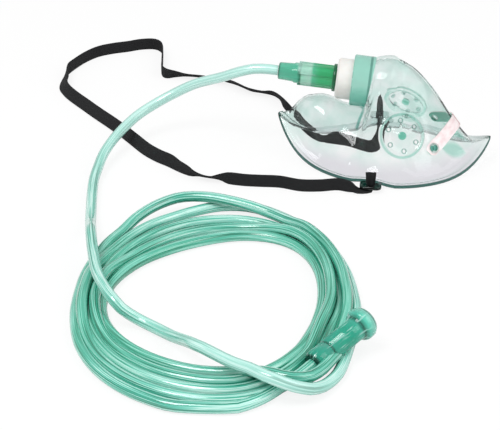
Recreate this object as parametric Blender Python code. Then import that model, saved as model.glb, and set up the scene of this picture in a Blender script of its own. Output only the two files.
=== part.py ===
"""Adult oxygen face mask with its head strap and supply tubing, lying on a table.

Metres, +Z up. The table is z = 0, +X points to the nose end of the mask and -Y to its near cheek.
The origin lies on the table under the mask, between the two strap tabs.
"""

import math

import bmesh
import bpy
import numpy as np
from mathutils import Vector
from mathutils.geometry import delaunay_2d_cdt

MM = 0.001
GAP = 0.3 * MM

# Moulded shell: the outline seen from above, in two halves about its widest place.
# The dome ends in a fold, and the flange runs from the fold out to the rim.
WALL = 1.4 * MM
WIDEST_X = 8 * MM
FOLD_HALF_WIDTH = 39 * MM
FOLD_CHIN_LENGTH = 65 * MM
FOLD_NOSE_LENGTH = 48 * MM
FLANGE_SIDE_WIDTH = 7 * MM
FLANGE_CHIN_WIDTH = 7 * MM
FLANGE_NOSE_WIDTH = 9.6 * MM
RIM_HALF_WIDTH = FOLD_HALF_WIDTH + FLANGE_SIDE_WIDTH
RIM_CHIN_LENGTH = FOLD_CHIN_LENGTH + FLANGE_CHIN_WIDTH
RIM_NOSE_LENGTH = FOLD_NOSE_LENGTH + FLANGE_NOSE_WIDTH
CHIN_POWERS = (1.7, 0.8)
NOSE_POWERS = (1.9, 0.72)

# The table touches the rim along the cheeks; from these shares of the length it rises to both ends
RIM_CHIN_RISE = 23 * MM
RIM_NOSE_RISE = 14 * MM
FOLD_CHIN_RISE = 25.5 * MM
FOLD_NOSE_RISE = 9.7 * MM
CHIN_RISE_FROM = 0.2
CHIN_RISE_POWER = 5.3
NOSE_RISE_FROM = 0.3
NOSE_RISE_POWER = 4
RIM_BEAD = 2.2 * MM
RIM_BEAD_WIDTH = 2.6 * MM
RIM_ROUNDING = 0.5 * MM
FLANGE = 1.3 * MM
RIM_ARCH = 2.4 * MM
RIM_ARCH_HALF_LENGTH = 16 * MM
GRID_STEP = 3.0 * MM
OUTLINE_STEPS = 42

# Height of the shell along its middle, from the chin fold to the nose fold
SPINE = (
    (-57, 27), (-52, 32.5), (-46, 36.3), (-38, 37), (-30, 34.5), (-23, 30.6), (-16, 29.2),
    (-11, 29.6), (-8, 38), (-5, 56), (-2, 62.5), (2, 64.8), (7, 64.3), (12, 62), (17, 59), (24.3, 52),
    (33.4, 40.2), (40.5, 29.5), (48.4, 18.8), (52.5, 14.2), (56, 11),
)
# The step up from the chin panel starts this much earlier at the sides than in the middle
STEP_CURVE = 4 * MM
STEP_CURVE_Y = 22 * MM
# How the cross-section bulges: 1 is a straight tent wall and 2 a round arch
FULLNESS = ((-57, 2.2), (-20, 2.2), (-12, 1.7), (-5, 1.4), (5, 1.2), (14, 1.02), (40, 1.0), (56, 1.3))
# Rounding of the ridge
RIDGE_ROUND = ((-57, 8), (-18, 8), (-5, 5.5), (20, 4.5), (56, 4))

# Vent discs, one in each cheek wall
DISC_X = 12.7 * MM
DISC_Y = 24.3 * MM
DISC_RADIUS = 13.5 * MM
DISC_PROUD = 0.9 * MM
DISC_PLATE = 1.5 * MM
DISC_RIM_WIDTH = 1.3 * MM
DISC_RIM_HEIGHT = 0.7 * MM
DISC_DEPTH = 3.4 * MM
DISC_SINK = 1.0 * MM
DISC_HOLES = 6
DISC_HOLE_RADIUS = 1.15 * MM
DISC_HOLE_CIRCLE = 9.2 * MM
DISC_FIRST_HOLE = math.radians(30)
DISC_PIP_RADIUS = 2.4 * MM
DISC_ROUNDING = 0.3 * MM

# Leaf shaped dimples beside the nose
LEAF_X = 44 * MM
LEAF_Y = 19.5 * MM
LEAF_HALF_LENGTH = 8 * MM
LEAF_HALF_WIDTH = 3 * MM
LEAF_DEPTH = 1.3 * MM
LEAF_TURN = math.radians(-38)

# Port on the chin side, with the collar, the cup and the tubing connector on its axis
PORT_X = -19.3 * MM
PORT_Z = 48.9 * MM
PORT_TILT = math.radians(5)
STUB_RADIUS = 14.0 * MM
STUB_BORE = 12.6 * MM
STUB_END = -1.8 * MM
BOSS_RADIUS = 15.6 * MM
BOSS_FLARE = 2.2 * MM
BOSS_LENGTH = 20 * MM
BOSS_SINK = 8.5 * MM
PASSAGE_TAPER = 5 * MM
COLLAR_RADIUS = 15.5 * MM
COLLAR_LENGTH = 11.0 * MM
COLLAR_SLOPE = 1.9 * MM
COLLAR_LIP = 1.4 * MM
CUP_END = 9.4 * MM
CUP_DEPTH = 19 * MM
CUP_WALL = 1.5 * MM
CONNECTOR_SPIGOT = 5.0 * MM
CONNECTOR_SPIGOT_LENGTH = 6 * MM
CONNECTOR_FLANGE = 8.4 * MM
CONNECTOR_FLANGE_WIDTH = 1.8 * MM
CONNECTOR_BODY = 7.0 * MM
CONNECTOR_TUBE_END = 5.2 * MM
CONNECTOR_TUBE_END_LENGTH = 9 * MM
CONNECTOR_LENGTH = 35.3 * MM
CONNECTOR_BORE = 2.2 * MM
CONNECTOR_RIBS = 8
CONNECTOR_RIB_HEIGHT = 0.7 * MM
CONNECTOR_RIB_WIDTH = 1.3 * MM

# Nose clip, a soft metal strip across the ridge, lying a little off the wall
CLIP_X = 43.5 * MM
CLIP_OFF_WALL = 0.55 * MM
CLIP_WIDTH = 8 * MM
CLIP_THICKNESS = 0.8 * MM
CLIP_HALF_LENGTH = 31.5 * MM
CLIP_HOLE_RADIUS = 2.3 * MM
POST_FROM_END = 4.5 * MM
POST_HEAD_RADIUS = 3.1 * MM
POST_HEAD = 1.3 * MM

# Strap tabs on the cheek rims
TAB_X = -4 * MM
TAB_HALF_LENGTH = 6.4 * MM
TAB_REACH = RIM_HALF_WIDTH + 8 * MM
TAB_THICKNESS = 1.6 * MM
TAB_CORNER = 3 * MM
TAB_OVERLAP = 1.2 * MM
SLOT_Y = RIM_HALF_WIDTH + 3.8 * MM
SLOT_LENGTH = 9.6 * MM
SLOT_WIDTH = 2.8 * MM

# Woven strap: the route of its middle, the direction of its width and how far it is drawn in
STRAP_WIDTH = 8 * MM
STRAP_THICKNESS = 1.0 * MM
ON_EDGE = (0, 0, 1)
LEANING = (0.55, 0.44, 0.7)
FACING_UP = (-0.15, -0.82, 0.55)
GATHERED = 0.6
STRAP_ROUTE = (
    (-4, -49.6, 12, (-1, 0, 0), 0.8), (-4, -49.5, 6, (-1, 0, 0), 0.7),
    (-4, -49.4, 3, (-1, 0, 0), GATHERED),
    (-4.1, -49.8, 1.6, (-1, 0.1, 0), GATHERED), (-4.6, -51, 1.1, (-0.95, 0.25, 0), GATHERED),
    (-7.4, -52.8, 1, (-0.55, 0.85, 0), GATHERED), (-11.5, -53.2, 1.1, (-0.1, 1, 0.1), GATHERED),
    (-16, -52.4, 3.2, (0, 0.5, 0.9), 0.8),
    (-23, -51.8, 4.3, ON_EDGE, 1), (-33.5, -54.6, 4.3, ON_EDGE, 1), (-45.2, -55.6, 4.3, ON_EDGE, 1),
    (-57.5, -52.4, 4.3, ON_EDGE, 1), (-69.3, -52.6, 4.3, ON_EDGE, 1), (-78.2, -52.6, 4.3, ON_EDGE, 1),
    (-87.4, -51.4, 4.3, ON_EDGE, 1), (-93.5, -50.2, 3.7, (0, -0.6, 0.8), 1),
    (-98, -48.6, 2.8, FACING_UP, 1), (-103, -47.6, 2.8, FACING_UP, 1),
    (-108, -46.4, 3.5, (-0.1, -0.7, 0.7), 1), (-113, -44, 4.1, (0, -0.3, 0.95), 1),
    (-119.1, -39.3, 4.3, ON_EDGE, 1), (-126.3, -31.9, 4.2, (0.3, 0.25, 0.9), 1),
    (-134.7, -25.2, 3.9, (0.45, 0.4, 0.8), 1), (-143.5, -16.2, 3.6, LEANING, 1),
    (-153.1, -3.8, 3.6, LEANING, 1), (-162.8, 8.6, 3.6, LEANING, 1), (-172.4, 20, 3.6, LEANING, 1),
    (-182.1, 30.9, 3.6, LEANING, 1), (-192.2, 42.8, 3.6, LEANING, 1), (-202.4, 54.9, 3.6, LEANING, 1),
    (-208.5, 63, 3.8, (0.5, 0.3, 0.8), 1), (-212.6, 71.5, 3.7, (0.65, 0.1, 0.75), 1),
    (-213.8, 80.6, 3.6, (0.7, 0, 0.7), 1), (-214.6, 89, 4.1, (0.35, 0, 0.9), 1),
    (-214.4, 97, 4.3, ON_EDGE, 1), (-211.5, 106.5, 4.3, ON_EDGE, 1), (-206.7, 118, 4.3, ON_EDGE, 1),
    (-200, 128, 4.3, ON_EDGE, 1), (-191, 134.5, 4.3, ON_EDGE, 1), (-181.5, 139, 4.3, ON_EDGE, 1),
    (-172.5, 144, 4.3, ON_EDGE, 1), (-163.5, 145.2, 4.3, ON_EDGE, 1), (-157.8, 139, 4.3, ON_EDGE, 1),
    (-155.4, 126, 4.3, ON_EDGE, 1), (-153.4, 112, 4.3, ON_EDGE, 1), (-151.6, 101, 4.3, ON_EDGE, 1),
    (-147.5, 96.8, 4.2, (0, -0.25, 0.95), 1), (-142, 97.8, 3.6, (0, -0.6, 0.8), 1),
    (-134, 98.6, 2.9, FACING_UP, 1), (-123.9, 97.6, 2.8, FACING_UP, 1), (-113.4, 94.4, 3, FACING_UP, 1),
    (-103.6, 90.2, 3.2, (-0.45, -0.6, 0.65), 1), (-97.7, 85.6, 3.3, (-0.5, -0.55, 0.65), 1),
    (-90.4, 79.8, 3.1, (-0.4, -0.65, 0.6), 1), (-82.2, 77.3, 2.9, FACING_UP, 1),
    (-75.6, 75, 3.3, (-0.35, -0.6, 0.7), 1), (-70.4, 68.5, 4, (-0.45, -0.25, 0.85), 1),
    (-66, 60, 4.2, ON_EDGE, 1), (-61.6, 51.5, 3.4, (0.6, 0.3, 0.75), 1),
    (-58, 44.5, 2.2, (0.8, 0.45, 0.4), 1), (-54, 37.5, 1, (0.86, 0.5, 0.03), 1),
    (-50, 31, 0.8, (0.87, 0.5, 0), 1), (-46, 24.5, 0.8, (0.85, 0.52, 0), 1),
    (-41.5, 18.5, 0.8, (0.8, 0.6, 0), 1), (-36.5, 14.8, 1.7, (0.6, 0.75, 0.25), 1),
    (-30, 12.3, 3.7, (0.3, 0.5, 0.75), 1), (-23, 9, 4.3, ON_EDGE, 1), (-14, 4.4, 4.3, ON_EDGE, 1),
    (-8, 1.6, 4.2, (-0.1, 0, 0.95), 1), (-4, 6, 3.7, (-0.6, 0.1, 0.75), 1),
    (-3.6, 17, 1.4, (-0.97, 0, 0.2), 1),
    (-3.9, 29, 0.8, (-1, 0, 0), 1), (-4, 39, 0.8, (-1, 0, 0), 1), (-4, 46.5, 0.8, (-1, 0, 0), 1),
    (-4, 49.4, 1.2, (-1, 0, 0), 1), (-4, 50, 3.6, (-1, 0, 0), 1), (-4, 50.1, 9, (-1, 0, 0), 1),
    (-4.2, 50.3, 17.5, (-1, 0, 0.05), 1),
)
STRAP_POINT_SPACING = 4.2 * MM

# Supply tube
TUBE_RADIUS = 3.1 * MM
TUBE_POINT_SPACING = 16 * MM
LEAD_ROUTE = (
    (-72, 0, 53.4), (-80, 0, 52.9), (-89, 1.4, 49.8), (-98, 5, 44.8), (-107, 10, 40), (-117, 14, 35),
    (-128, 15.5, 28.6), (-140, 12, 22.4), (-151, 3, 17.4), (-158.6, -11, 13.8), (-163.2, -24, 11.2),
    (-166.3, -36, 8.2), (-167.4, -48, 5.4), (-167.4, -62, 3.8), (-164.8, -82, 3.4), (-161.5, -102, 3.8),
    (-158.5, -119, 6), (-155.7, -132, 11), (-153, -145, 15.2), (-149.6, -160, 15.7), (-145.2, -177, 15.7),
    (-141.5, -189.5, 15.7), (-138.2, -197.8, 15.7), (-135, -204.4, 15.7), (-131.2, -211.4, 15.6),
    (-127.2, -217, 14.8), (-123, -218.6, 11), (-118.3, -218.2, 7.2), (-113, -219.5, 5), (-106.9, -222.4, 4),
    (-100.9, -227, 4.2), (-94.7, -233.4, 5.6), (-88.6, -241, 8.6), (-84, -248, 11.9), (-79.8, -255.1, 14.9),
    (-75.2, -258.9, 15.6), (-68.8, -263.8, 15.7), (-61, -269.5, 15.7), (-55.1, -272.8, 15.7),
    (-49, -275.6, 15.7),
)

# Wound part of the tube: an uneven oval ring with a round inside
COIL_CENTRE = (-80 * MM, -188 * MM)
COIL_HEIGHT = 11.8 * MM
COIL_OUTER = (
    (-2, -192), (-9, -158), (-28, -116), (-58, -87), (-87, -75), (-112, -81), (-133, -103), (-147, -138),
    (-152.5, -176), (-151, -208), (-143, -242), (-126, -272), (-98, -292), (-65, -300), (-38, -290),
    (-18, -272), (-6, -240),
)
COIL_INNER = (
    (-26, -192), (-29, -160), (-39, -132), (-58, -119), (-81, -125), (-102, -138), (-121, -156),
    (-131, -176), (-134, -196), (-128, -222), (-114, -240), (-96, -252), (-72, -259), (-50, -256),
    (-37, -243), (-29, -220),
)
COIL_STEPS = 44

# Supply connector, a funnel that pushes on the oxygen outlet. Its narrow end lies on the table and
# its flared mouth on the two outer turns of the coil.
SUPPLY_FROM = (-20.9 * MM, -253.9 * MM, 6.9 * MM)
SUPPLY_TO = (3.3 * MM, -222.6 * MM, 15.2 * MM)
SUPPLY_BODY = 6.2 * MM
SUPPLY_THROAT = 5.2 * MM
SUPPLY_LIP = 8.6 * MM
SUPPLY_LIP_LENGTH = 8 * MM
SUPPLY_LIP_ROUNDING = 1.2 * MM
SUPPLY_WALL = 1.5 * MM
SUPPLY_SEAM = 11.5 * MM
SUPPLY_SEAM_DEPTH = 0.5 * MM
SUPPLY_SOCKET_DEPTH = 27 * MM
SUPPLY_BORE = 1.9 * MM
TAIL_LENGTH = 9 * MM
COIL_CLEARANCE = 0.5 * MM


def remove_startup_objects():
    for old in list(bpy.data.objects):
        bpy.data.objects.remove(old, do_unlink=True)


def material(name, colour, roughness, metallic=0.0, alpha=1.0):
    made = bpy.data.materials.new(name)
    made.use_nodes = True
    shader = made.node_tree.nodes["Principled BSDF"]
    shader.inputs["Base Color"].default_value = (*colour, 1.0)
    shader.inputs["Roughness"].default_value = roughness
    shader.inputs["Metallic"].default_value = metallic
    shader.inputs["Alpha"].default_value = alpha
    return made


def object_from(name, points, faces, finish=None, smooth_below=math.radians(35)):
    mesh = bpy.data.meshes.new(name)
    mesh.from_pydata([tuple(point) for point in points], [], faces)
    mesh.validate()
    work = bmesh.new()
    work.from_mesh(mesh)
    bmesh.ops.recalc_face_normals(work, faces=work.faces)
    work.to_mesh(mesh)
    work.free()
    mesh.shade_smooth()
    mesh.set_sharp_from_angle(angle=smooth_below)
    made = bpy.data.objects.new(name, mesh)
    bpy.context.scene.collection.objects.link(made)
    if finish:
        mesh.materials.append(finish)
    return made


def boolean(target, tool, operation):
    """Joins or cuts the target with a helper solid, and removes the helper."""
    step = target.modifiers.new("step", "BOOLEAN")
    step.object = tool
    step.operation = operation
    step.solver = "EXACT"
    graph = bpy.context.evaluated_depsgraph_get()
    result = bpy.data.meshes.new_from_object(target.evaluated_get(graph))
    target.modifiers.remove(step)
    target.data = result
    bpy.data.objects.remove(tool, do_unlink=True)


def turned(name, profile, origin, axis, finish=None, segments=36, up=(0, 0, 1)):
    """A solid turned about the axis. The profile is a closed loop of (distance along the axis, radius)."""
    along = Vector(axis).normalized()
    side = along.cross(Vector(up)).normalized()
    over = side.cross(along)
    points = []
    rings = []
    for place, radius in profile:
        middle = Vector(origin) + along * place
        if radius < 1e-7:
            rings.append([len(points)] * segments)
            points.append(middle)
            continue
        rings.append(list(range(len(points), len(points) + segments)))
        for step in range(segments):
            angle = 2 * math.pi * step / segments
            points.append(middle + radius * (math.cos(angle) * side + math.sin(angle) * over))
    faces = []
    for ring, following in zip(rings, rings[1:] + rings[:1]):
        for step in range(segments):
            after = (step + 1) % segments
            corners = [ring[step], ring[after], following[after], following[step]]
            corners = list(dict.fromkeys(corners))
            if len(corners) > 2:
                faces.append(corners)
    return object_from(name, points, faces, finish)


def curve_through(stops, spacing):
    """Points at an even spacing on a smooth curve through the stops, which may carry more values."""
    stops = np.asarray(stops, float)
    ends = np.vstack([2 * stops[0] - stops[1], stops, 2 * stops[-1] - stops[-2]])
    dense = []
    for before, start, end, after in zip(ends, ends[1:], ends[2:], ends[3:]):
        for share in np.linspace(0, 1, 24, endpoint=False):
            bend = 2 * before - 5 * start + 4 * end - after
            turn = 3 * start - before - 3 * end + after
            dense.append(0.5 * (2 * start + (end - before) * share + bend * share**2 + turn * share**3))
    dense.append(stops[-1])
    dense = np.array(dense)
    travelled = np.insert(np.cumsum(np.linalg.norm(np.diff(dense[:, :3], axis=0), axis=1)), 0, 0)
    count = max(2, round(travelled[-1] / spacing) + 1)
    places = np.linspace(0, travelled[-1], count)
    return np.column_stack([np.interp(places, travelled, column) for column in dense.T])


def ease(share, power=2.0):
    return min(1.0, max(0.0, share)) ** power


# The shell's outline and height, as functions of the place along it


def profile_value(table, x):
    """A smooth curve through the (place, value) pairs in millimetres, with no overshoot."""
    places = np.array([pair[0] for pair in table], float)
    values = np.array([pair[1] for pair in table], float)
    slopes = np.diff(values) / np.diff(places)
    product = slopes[:-1] * slopes[1:]
    middle = np.where(product > 0, 2 * product / (slopes[:-1] + slopes[1:]), 0)
    tangents = np.concatenate([[slopes[0]], middle, [slopes[-1]]])
    place = min(max(x / MM, places[0]), places[-1])
    index = min(int(np.searchsorted(places, place, side="right")) - 1, len(places) - 2)
    width = places[index + 1] - places[index]
    share = (place - places[index]) / width
    left = 1 - share
    start = (1 + 2 * share) * left**2 * values[index] + share * left**2 * width * tangents[index]
    end = share**2 * (1 + 2 * left) * values[index + 1] - share**2 * left * width * tangents[index + 1]
    return (start + end) * MM


def reach_share(x, chin_length, nose_length):
    length = chin_length if x < WIDEST_X else nose_length
    return min(1.0, abs(x - WIDEST_X) / length)


def half_width(x, full, chin_length, nose_length):
    share = reach_share(x, chin_length, nose_length)
    inner, outer = CHIN_POWERS if x < WIDEST_X else NOSE_POWERS
    return full * (1 - share**inner) ** outer


def rise(x, share, chin_rise, nose_rise):
    if x < WIDEST_X:
        return chin_rise * ease((share - CHIN_RISE_FROM) / (1 - CHIN_RISE_FROM), CHIN_RISE_POWER)
    return nose_rise * ease((share - NOSE_RISE_FROM) / (1 - NOSE_RISE_FROM), NOSE_RISE_POWER)


def rim_arch(x):
    share = abs(x - TAB_X) / RIM_ARCH_HALF_LENGTH
    return RIM_ARCH * math.cos(math.pi / 2 * min(1.0, share)) ** 2


def outline(angle, full, chin_length, nose_length):
    """The point of the outline at this angle, 0 at the nose tip and pi at the chin tip, on the +Y side."""
    length = nose_length if math.cos(angle) > 0 else chin_length
    x = WIDEST_X + length * math.cos(angle)
    return x, half_width(x, full, chin_length, nose_length)


def fold_height(x):
    share = reach_share(x, FOLD_CHIN_LENGTH, FOLD_NOSE_LENGTH)
    return FLANGE + rise(x, share, FOLD_CHIN_RISE, FOLD_NOSE_RISE) + rim_arch(x)


def rim_height(x):
    share = reach_share(x, RIM_CHIN_LENGTH, RIM_NOSE_LENGTH)
    return rise(x, share, RIM_CHIN_RISE, RIM_NOSE_RISE) + rim_arch(x)


def plain_height(x, y):
    """Height of the wall's outer face before the discs and dimples."""
    width = half_width(x, FOLD_HALF_WIDTH, FOLD_CHIN_LENGTH, FOLD_NOSE_LENGTH)
    rounding = profile_value(RIDGE_ROUND, x)
    fullness = profile_value(FULLNESS, x) / MM
    across = math.hypot(y, rounding) - rounding
    whole = math.hypot(width, rounding) - rounding
    share = min(1.0, across / max(whole, 1e-9))
    curved = STEP_CURVE * min(1.0, abs(y) / STEP_CURVE_Y) ** 2 * ease((WIDEST_X - x) / WIDEST_X, 1)
    top = profile_value(SPINE, x + curved)
    foot = fold_height(x)
    return foot + (top - foot) * (1 - share**fullness)


def slope_at(height, x, y, step=0.5 * MM):
    return (
        (height(x + step, y) - height(x - step, y)) / (2 * step),
        (height(x, y + step) - height(x, y - step)) / (2 * step),
    )


def disc_plane():
    """Centre height and slopes of the flat that carries the disc on the +Y cheek."""
    slope_x, slope_y = slope_at(plain_height, DISC_X, DISC_Y, 5 * MM)
    sink = DISC_SINK * math.sqrt(1 + slope_x**2 + slope_y**2)
    return plain_height(DISC_X, DISC_Y) - sink, slope_x, slope_y


DISC_PLANE = disc_plane()


def leaf_share(x, y):
    """1 at the middle of a leaf dimple and 0 from its edge outwards."""
    along = (x - LEAF_X) * math.cos(LEAF_TURN) + (y - LEAF_Y) * math.sin(LEAF_TURN)
    across = (y - LEAF_Y) * math.cos(LEAF_TURN) - (x - LEAF_X) * math.sin(LEAF_TURN)
    far = (along / LEAF_HALF_LENGTH) ** 2 + (across / LEAF_HALF_WIDTH) ** 2
    return max(0.0, 1 - far) ** 0.8


def height_at(x, y):
    """Height of the wall's outer face."""
    y = abs(y)
    centre, slope_x, slope_y = DISC_PLANE
    lean = slope_x * (x - DISC_X) + slope_y * (y - DISC_Y)
    away = math.sqrt((x - DISC_X) ** 2 + (y - DISC_Y) ** 2 + lean**2)
    blend = ease((away - DISC_RADIUS) / (0.5 * DISC_RADIUS), 1)
    blend = blend * blend * (3 - 2 * blend)
    wall = plain_height(x, y)
    wall = wall * blend + (centre + lean) * (1 - blend)
    return wall - LEAF_DEPTH * leaf_share(x, y)


def wall_point(x, y, lift=0.0):
    """The point of the wall's outer face over (x, y), moved along its normal."""
    slope_x, slope_y = slope_at(height_at, x, y)
    normal = Vector((-slope_x, -slope_y, 1)).normalized()
    return Vector((x, y, height_at(x, y))) + normal * lift, normal


def outline_angles():
    return [math.pi * (step + 0.5) / OUTLINE_STEPS for step in range(OUTLINE_STEPS)]


def loop_of(place):
    """One closed loop round the mask: place(angle, side) for the +Y side, then back along -Y."""
    angles = outline_angles()
    return [place(angle, 1) for angle in angles] + [place(angle, -1) for angle in reversed(angles)]


def flange_loop(share, lift_rim, lift_fold, drop=0.0):
    """A loop between the fold, share 0, and the rim's outer edge, share 1; below 0 it is inside the fold."""

    def place(angle, side):
        fold_x, fold_y = outline(angle, FOLD_HALF_WIDTH, FOLD_CHIN_LENGTH, FOLD_NOSE_LENGTH)
        rim_x, rim_y = outline(angle, RIM_HALF_WIDTH, RIM_CHIN_LENGTH, RIM_NOSE_LENGTH)
        fold_z = fold_height(fold_x) + lift_fold
        rim_z = rim_height(rim_x) + lift_rim
        z = fold_z + (rim_z - fold_z) * min(1.0, max(0.0, share)) - drop
        return (fold_x + (rim_x - fold_x) * share, side * (fold_y + (rim_y - fold_y) * share), z)

    return loop_of(place)


def dome_grid():
    """Triangles over the fold outline, in plan: its loop first, then rows of points inside it."""
    border = [(x, y) for x, y, z in flange_loop(0, 0, 0)]
    inside = []
    x = WIDEST_X - FOLD_CHIN_LENGTH + 2 * MM
    while x < WIDEST_X + FOLD_NOSE_LENGTH - 2 * MM:
        width = half_width(x, FOLD_HALF_WIDTH, FOLD_CHIN_LENGTH, FOLD_NOSE_LENGTH) - 0.8 * GRID_STEP
        y = 0.0
        column = 0
        while y < width:
            inside += [(x, y)] if column == 0 else [(x, y), (x, -y)]
            column += 1
            y += GRID_STEP * min(1.0, 0.5 + 0.12 * column)
        near_step = -22 * MM < x < 0
        x += GRID_STEP * (0.55 if near_step else 1.0)
    count = len(border)
    edges = [(step, (step + 1) % count) for step in range(count)]
    found = delaunay_2d_cdt([Vector(p) for p in border + inside], edges, [list(range(count))], 1, 1e-7)
    return [tuple(point) for point in found[0]], [list(face) for face in found[2]], count


def shell_solid():
    """The shell with a full inside: wall face, flange, rim bead and a low floor that the hollow removes."""
    plan, triangles, count = dome_grid()
    points = flange_loop(0, 0, 0)
    points += [(x, y, height_at(x, y)) for x, y in plan[count:]]
    faces = list(triangles)
    bead = RIM_BEAD_WIDTH / FLANGE_SIDE_WIDTH
    rounded = RIM_ROUNDING / FLANGE_SIDE_WIDTH
    loops = [
        flange_loop(1 - bead - rounded, FLANGE, 0),
        flange_loop(1 - bead, RIM_BEAD, RIM_BEAD - FLANGE),
        flange_loop(1 - rounded, RIM_BEAD, 0),
        flange_loop(1, RIM_BEAD - RIM_ROUNDING, 0),
        flange_loop(1, 0.3 * MM, 0),
        flange_loop(1 - rounded, 0, 0),
        flange_loop(1 - bead, 0, -FLANGE),
        flange_loop(-0.4, 0.2 * MM, -FLANGE),
    ]
    before = list(range(count))
    for loop in loops:
        start = len(points)
        points += loop
        current = list(range(start, start + count))
        for step in range(count):
            after = (step + 1) % count
            faces.append([before[step], before[after], current[after], current[step]])
        before = current
    middle = len(points)
    points.append((WIDEST_X, 0, 0.3 * MM + FLANGE / 4))
    faces += [[before[step], before[(step + 1) % count], middle] for step in range(count)]
    return object_from("mask_shell", points, faces)


def hollow_solid():
    """The inside of the mask, one wall thickness under the outer face and open downwards."""
    plan, triangles, count = dome_grid()
    inset = -0.8 * MM / FLANGE_SIDE_WIDTH
    points = flange_loop(inset, 0, 0.3 * MM, FLANGE)
    for x, y in plan[count:]:
        points.append(wall_point(x, y, -WALL)[0])
    low = [(x, y, -4 * MM) for x, y, z in points[:count]]
    base = len(points)
    points += low
    middle = len(points)
    points.append((WIDEST_X, 0, -4 * MM))
    faces = list(triangles)
    for step in range(count):
        after = (step + 1) % count
        faces.append([step, after, base + after, base + step])
        faces.append([base + step, base + after, middle])
    return object_from("hollow", points, faces)


PORT_ORIGIN = Vector((PORT_X, 0, PORT_Z))
PORT_AXIS = Vector((-math.cos(PORT_TILT), 0, math.sin(PORT_TILT)))
BOSS_START = -(COLLAR_LENGTH + GAP)


def lean_back(ring_object, beyond):
    """Slopes the part of a port piece past this place, so that its top reaches further towards the nose."""
    over = Vector((PORT_AXIS.z, 0, -PORT_AXIS.x))
    for vertex in ring_object.data.vertices:
        offset = vertex.co - PORT_ORIGIN
        if offset.dot(PORT_AXIS) < beyond:
            vertex.co -= PORT_AXIS * COLLAR_SLOPE * offset.dot(over) / COLLAR_RADIUS
    return ring_object


def port_boss(inside):
    """The flared boss and its stub on the chin side, or the passage through them."""
    flare = []
    for step in range(9):
        share = step / 8
        place = BOSS_START - BOSS_LENGTH * share
        swell = BOSS_FLARE * math.sin(math.pi * min(1.0, share * 1.25) * 0.8)
        sink = BOSS_SINK * ease((share - 0.45) / 0.55, 2)
        flare.append((place, BOSS_RADIUS + swell - sink))
    if inside:
        profile = [(STUB_END + 2 * MM, 0), (STUB_END + 2 * MM, STUB_BORE), (BOSS_START, STUB_BORE)]
        for place, radius in flare[1:]:
            narrowing = PASSAGE_TAPER * (BOSS_START - place) / BOSS_LENGTH
            profile.append((place, radius - WALL - narrowing))
        profile += [(flare[-1][0], 0)]
        return lean_back(turned("passage", profile, PORT_ORIGIN, PORT_AXIS), 0.9 * BOSS_START)
    profile = [(STUB_END, 0), (STUB_END, STUB_RADIUS), (BOSS_START, STUB_RADIUS)]
    profile += flare + [(flare[-1][0], 0)]
    return lean_back(turned("boss", profile, PORT_ORIGIN, PORT_AXIS), 0.9 * BOSS_START)


def disc_frame(side):
    centre, slope_x, slope_y = DISC_PLANE
    origin = Vector((DISC_X, side * DISC_Y, centre))
    return origin, Vector((-slope_x, -side * slope_y, 1)).normalized()


def add_disc(shell, side):
    """A flat vent disc with a raised edge, on a short skirt, with holes round a pip."""
    origin, normal = disc_frame(side)
    raised = DISC_PROUD + DISC_RIM_HEIGHT
    inner = DISC_RADIUS - DISC_RIM_WIDTH
    profile = [
        (-DISC_DEPTH, 0), (-DISC_DEPTH, DISC_RADIUS), (raised - DISC_ROUNDING, DISC_RADIUS),
        (raised, DISC_RADIUS - DISC_ROUNDING), (raised, inner), (DISC_PROUD, inner - DISC_ROUNDING),
        (DISC_PROUD, DISC_PIP_RADIUS), (raised, DISC_PIP_RADIUS - DISC_ROUNDING), (raised, 0),
    ]
    boolean(shell, turned("disc", profile, origin, normal), "UNION")


def cut_disc(shell, side):
    origin, normal = disc_frame(side)
    under = DISC_PROUD - DISC_PLATE
    pocket = DISC_RADIUS - WALL
    profile = [(under, 0), (under, pocket), (-DISC_DEPTH - 4 * MM, pocket), (-DISC_DEPTH - 4 * MM, 0)]
    boolean(shell, turned("pocket", profile, origin, normal, up=(0, 1, 0)), "DIFFERENCE")
    across = normal.cross(Vector((0, 0, 1))).normalized()
    upward = across.cross(normal)
    for step in range(DISC_HOLES):
        angle = DISC_FIRST_HOLE + 2 * math.pi * step / DISC_HOLES
        place = origin + DISC_HOLE_CIRCLE * (math.cos(angle) * across + math.sin(angle) * upward)
        profile = [(-DISC_PLATE, 0), (-DISC_PLATE, DISC_HOLE_RADIUS), (3 * MM, DISC_HOLE_RADIUS), (3 * MM, 0)]
        boolean(shell, turned("hole", profile, place, normal, segments=12, up=(0, 1, 0)), "DIFFERENCE")


def clip_centre(y):
    """The wall point under the middle of the nose clip: its plane is square to the ridge."""
    ridge = Vector((CLIP_X, 0, height_at(CLIP_X, 0)))
    along = Vector((1, 0, slope_at(height_at, CLIP_X, 0, 3 * MM)[0])).normalized()
    low = CLIP_X - CLIP_HALF_LENGTH
    high = CLIP_X + CLIP_WIDTH / 2
    for _ in range(40):
        x = (low + high) / 2
        if (Vector((x, y, plain_height(x, abs(y)))) - ridge).dot(along) > 0:
            high = x
        else:
            low = x
    return Vector((x, y, height_at(x, y)))


def clip_stations():
    """(distance along the clip, wall point) down the +Y side from the ridge to the clip's end."""
    found = [(0.0, clip_centre(0.0))]
    y = 0.0
    while found[-1][0] < CLIP_HALF_LENGTH:
        y += 0.25 * MM
        point = clip_centre(y)
        found.append((found[-1][0] + (point - found[-1][1]).length, point))
    return found


CLIP_STATIONS = clip_stations()


def clip_point(distance):
    places = [pair[0] for pair in CLIP_STATIONS]
    y = float(np.interp(abs(distance), places, [pair[1].y for pair in CLIP_STATIONS]))
    return clip_centre(math.copysign(y, distance))


def post_frame(side):
    middle = clip_point(side * (CLIP_HALF_LENGTH - POST_FROM_END))
    return wall_point(middle.x, middle.y)


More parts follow.
